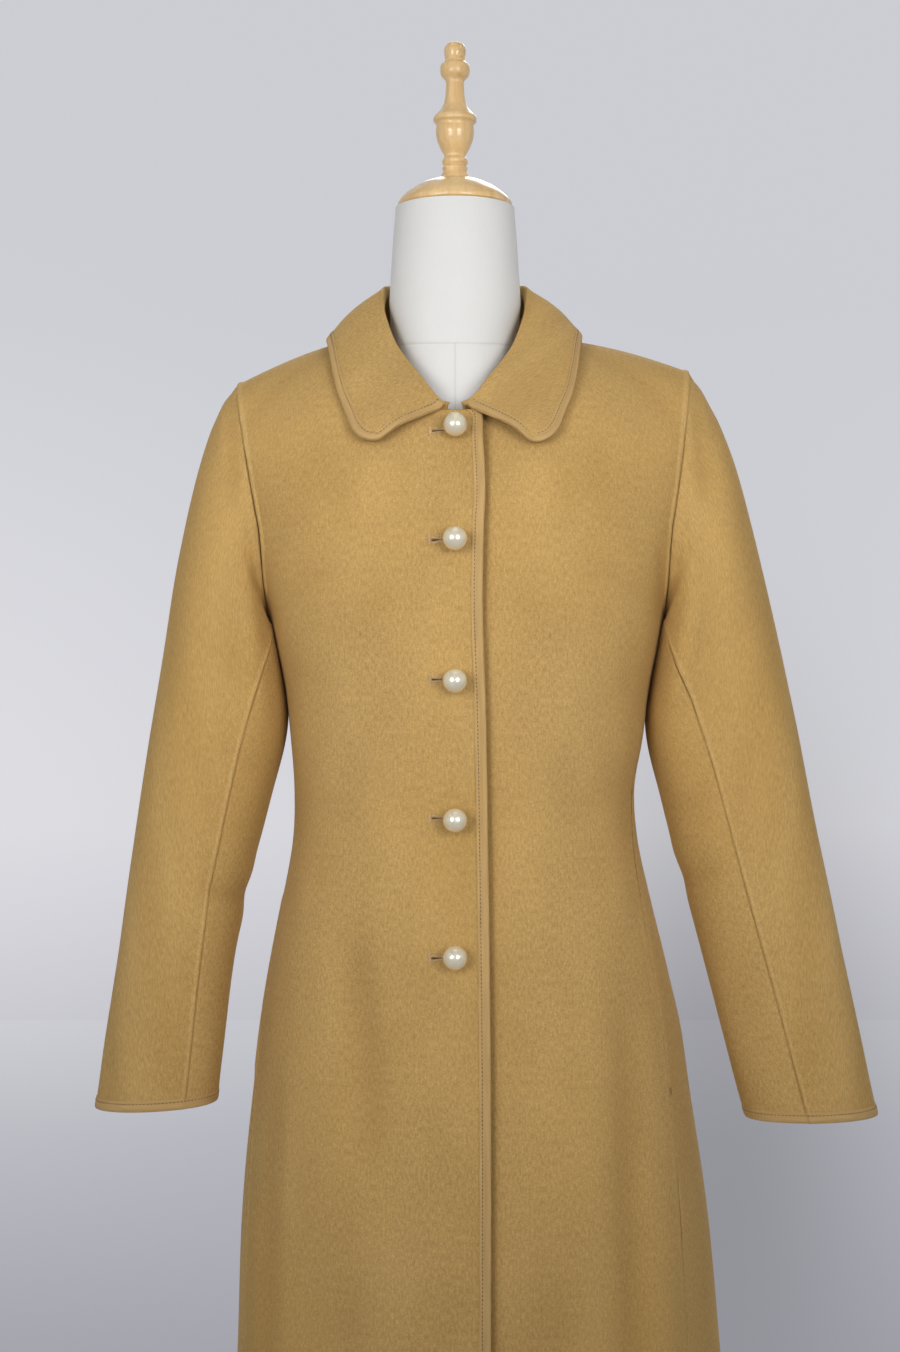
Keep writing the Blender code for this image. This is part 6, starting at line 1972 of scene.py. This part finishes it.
# %% Form torso
FORM_Y = 0.009
FORM_CLEAR, FORM_STEP_IN, NECK_WITHIN = 0.0030, 0.0008, 0.075
FORM_STEPS = 32
FORM = table(
    "height half_width front back square",
    (0.700, 0.142, 0.112, 0.090, 2.2),
    (0.712, 0.149, 0.117, 0.096, 2.2),
    (0.790, 0.150, 0.120, 0.098, 2.2),
    (0.870, 0.136, 0.111, 0.085, 2.2),
    (0.946, 0.122, 0.101, 0.073, 2.2),
    (1.020, 0.130, 0.109, 0.078, 2.2),
    (1.090, 0.142, 0.120, 0.088, 2.3),
    (1.150, 0.152, 0.122, 0.094, 2.4),
    (1.210, 0.160, 0.116, 0.096, 2.5),
)
FORM_NECK = table(
    "height half_width front back square",
    (1.4050, 0.0574, 0.0515, 0.0525, 2.0),
    (1.4200, 0.0566, 0.0510, 0.0520, 2.0),
    (1.4550, 0.0545, 0.0510, 0.0520, 2.0),
    (1.4885, 0.0518, 0.0500, 0.0515, 2.0),
)
FORM_ROOT_IN, FORM_ROOT_DOWN = 0.0120, 0.0060
FORM_FRONT_LEAN, FORM_BACK_LEAN = (0.0, 0.70, 0.71), (0.0, -0.30, 0.95)
FORM_SHOULDER_SLOPE, FORM_SHOULDER_SPREAD, FORM_SHOULDER_PAD = 0.32, 2.3, 0.010
FORM_YOKE_STEPS, FORM_ROOT_STEPS = 9, 6

form_turns = np.arange(FORM_STEPS) * 2 * math.pi / FORM_STEPS
form_side = np.abs(np.sin(form_turns))[:, None]
inside = joined_tree([(made["inner"], made["faces"]) for made in cloth_pieces.values() if "inner" in made]
                     + [(cloth_pieces["collar"]["outer"], cloth_pieces["collar"]["faces"])])


def form_level(sizes, height):
    size = {name: float(line(height)) for name, line in curves(sizes, "height").items()}
    power = 2.0 / size["square"]
    depth = np.where(np.cos(form_turns) > 0, size["front"], size["back"])
    x = size["half_width"] * signed_power(np.sin(form_turns), power)
    y = FORM_Y - depth * signed_power(np.cos(form_turns), power)
    return np.stack([x, y, np.full(FORM_STEPS, height)], axis=1)


def neck_root():
    """The ring just inside the coat's neckline."""
    ring = np.where((np.cos(form_turns) > 0)[:, None], front_neck(form_turns), back_neck(math.pi - form_turns))
    out = unit((ring - (0.0, FORM_Y, 0.0)) * (1, 1, 0))
    return ring - out * FORM_ROOT_IN - (0.0, 0.0, FORM_ROOT_DOWN)


def form_rings():
    """All rings of the form, from the bottom up."""
    torso = [form_level(FORM, height) for height in FORM["height"]]
    neck = [form_level(FORM_NECK, height) for height in FORM_NECK["height"]]
    root = neck_root()
    leave = unit(torso[-1] - form_level(FORM, FORM["height"][-1] - 0.005))
    lean = np.where((np.cos(form_turns) > 0)[:, None], FORM_FRONT_LEAN, FORM_BACK_LEAN)
    slope = np.zeros_like(root) + (0.0, 0.0, FORM_SHOULDER_SLOPE)
    slope[:, 0] = -np.sign(np.sin(form_turns))
    arrive = unit(mix(lean, slope, form_side ** 1.5))
    length = np.linalg.norm(root - torso[-1], axis=1, keepdims=True)
    length = length * mix(1.0, FORM_SHOULDER_SPREAD, form_side ** 2)
    rings = list(torso)
    for t in np.arange(1, FORM_YOKE_STEPS + 1) / FORM_YOKE_STEPS:
        pad = FORM_SHOULDER_PAD * math.sin(math.pi * t) ** 2 * form_side ** 6 * np.array([0.0, 0.0, 1.0])
        rings.append(hermite(torso[-1], root, leave * length, arrive * length, t) + pad)
    length = np.linalg.norm(neck[0] - root, axis=1, keepdims=True)
    for t in np.arange(1, FORM_ROOT_STEPS) / FORM_ROOT_STEPS:
        rings.append(hermite(root, neck[0], arrive * length, np.array([0.0, 0.0, 1.0]) * length, t))
    return rings + neck


def kept_inside(point):
    """The point drawn in until the cloth is further than the clearance."""
    middle = Vector((0.0, FORM_Y, min(point[2], FORM["height"][-1])))
    if math.hypot(point[0], point[1] - FORM_Y) < NECK_WITHIN:
        middle.z = point[2]
    arm = Vector(point) - middle
    for _ in range(60):
        near = inside.find_nearest(middle + arm)[3]
        hit = inside.ray_cast(middle, arm.normalized(), arm.length)[3]
        if near > FORM_CLEAR and hit is None:
            break
        arm *= 1 - FORM_STEP_IN / arm.length
    return middle + arm


rings = np.array([[kept_inside(point) for point in ring] for ring in form_rings()])
wrapped = np.concatenate([rings[:, -3:], rings, rings[:, :4]], axis=1)
FORM_AROUND, FORM_UP, SEAM_UP, SEAM_BAND = 4, 190, 50, 0.016
SEAM_GROOVE, RING_WIDE, FRONT_WIDE = 0.0005, 0.0012, 0.0010
SEAM_FROM_Z, SEAM_PAST = 1.31, 0.004
around_knots = np.arange(wrapped.shape[1], dtype=float)
wanted = 3 + np.arange(FORM_STEPS * FORM_AROUND) / FORM_AROUND
smooth_rings = np.moveaxis(curve(around_knots, np.moveaxis(wrapped, 1, 0))(wanted), 0, 1)
up_knots = mean_knots(smooth_rings)
seam_band = np.interp((NECK_SEAM_Z - SEAM_BAND, NECK_SEAM_Z + SEAM_BAND), smooth_rings[:, 0, 2], up_knots)
rises = np.union1d(np.linspace(0.0, up_knots[-1], FORM_UP), np.linspace(*seam_band, SEAM_UP))
form_grid = curve(up_knots, smooth_rings)(rises)
count, corners = form_grid.shape[:2]
numbers = ring_numbers(count, corners)
faces = quads(numbers)
points = form_grid.reshape(-1, 3)
normals = point_normals(points, faces, np.array([0.0, -1.0, 0.0]))
seam_level = points[:, 2] - NECK_SEAM_Z - NECK_SEAM_LEAN * (points[:, 1] - NECK_SEAM_Y)
seam_ring = np.exp(-((seam_level / RING_WIDE) ** 2)) * (points[:, 2] > SEAM_FROM_Z)
front_seam = np.exp(-((points[:, 0] / FRONT_WIDE) ** 2)) * (points[:, 1] < 0)
front_seam = front_seam * (points[:, 2] < NECK_SEAM_Z + SEAM_PAST)
points = points - normals * (SEAM_GROOVE * seam_ring + SEAM_GROOVE * front_seam)[:, None]
lids = numbers[[0, -1], :-1].tolist()
torso = new_piece("form_cover", points, faces.tolist() + lids, cover)
outward(torso.data)
settle(torso, "form_torso")
print("form:", count, "rings of", corners)

# %% [markdown]
# ## Turned wood
# The cap, the finial, the post and the base are turned on a lathe, so each is a profile carried round an axis.
# The profiles are those of the solids, with a smooth line drawn through their points, because a lathe tool leaves
# round beads and hollows and no facets.

# %% Turned wood
FINIAL_PROFILE = (
    (0.0000, 1.6330), (0.0068, 1.6325), (0.0092, 1.6290), (0.0096, 1.6165), (0.0122, 1.6142),
    (0.0131, 1.6097), (0.0120, 1.6045), (0.0086, 1.6008), (0.0082, 1.5920), (0.0091, 1.5836),
    (0.0110, 1.5775), (0.0162, 1.5710), (0.0187, 1.5682), (0.0185, 1.5640), (0.0172, 1.5628),
    (0.0169, 1.5545), (0.0155, 1.5475), (0.0122, 1.5395), (0.0094, 1.5330), (0.0110, 1.5312),
    (0.0112, 1.5280), (0.0097, 1.5255), (0.0112, 1.5238), (0.0105, 1.5212), (0.0128, 1.5165),
    (0.0136, 1.5143), (0.0000, 1.5143),
)
CAP_PROFILE = (
    (0.0000, 1.5140), (0.0150, 1.5138), (0.0280, 1.5100), (0.0400, 1.5030), (0.0474, 1.4965),
    (0.0498, 1.4925), (0.0494, 1.4898), (0.0478, 1.4888), (0.0000, 1.4888),
)
POST_RADIUS, POST_TOP = 0.0175, 0.6997
BASE_RADIUS, BASE_HEIGHT = 0.190, 0.028
POST_PROFILE = (
    (0.0000, POST_TOP),
    (POST_RADIUS - 0.001, POST_TOP),
    (POST_RADIUS, POST_TOP - 0.001),
    (POST_RADIUS, BASE_HEIGHT + 0.0003),
    (0.0000, BASE_HEIGHT + 0.0003),
)
BASE_PROFILE = (
    (0.0000, BASE_HEIGHT),
    (0.060, BASE_HEIGHT),
    (BASE_RADIUS - 0.014, 0.0220),
    (BASE_RADIUS - 0.004, 0.0190),
    (BASE_RADIUS, 0.0130),
    (BASE_RADIUS, 0.0030),
    (BASE_RADIUS - 0.003, 0.0000),
    (0.0000, 0.0000),
)


def softened(profile, steps=5):
    """A smooth line through a turned profile, apart from its flat end."""
    points = np.array(profile[:-1])
    knots = lengths(points, 0)
    shares = np.concatenate([np.linspace(a, b, steps, endpoint=False) for a, b in zip(knots[:-1], knots[1:])])
    line = curve(knots, points)(np.append(shares, knots[-1]))
    return [tuple(point) for point in line] + [profile[-1]]


for node, profile, middle, steps in (
    ("form_neck_cap", softened(CAP_PROFILE), FORM_Y, 96),
    ("form_finial", softened(FINIAL_PROFILE), FORM_Y, 72),
    ("form_post", POST_PROFILE, 0.0, 64),
    ("form_base", softened(BASE_PROFILE, 4), 0.0, 128),
):
    points, faces = turned_mesh(profile, steps, np.array([0.0, middle, 0.0]), (0.0, 0.0, 1.0))
    turned = new_piece("wood_" + node[5:], points, faces, wood)
    outward(turned.data)
    settle(turned, node)
print("turned pieces: 4")

# %% [markdown]
# ## What each piece of cloth is
# Every panel, the collar and the bindings ride on the part in place of their solids, and for each the flat size it was
# cut to and the area that the cut fills are printed.

for node, made in cloth_pieces.items():
    piece = made["piece"]
    settle(piece, node)
    area = half_area(piece)
    wide, long = made["wide"], made["long"]
    grow = max(1.0, math.sqrt(area / (wide * long)))
    print(node, round(wide * grow, 3), "x", round(long * grow, 3), "m, area", round(area, 4))
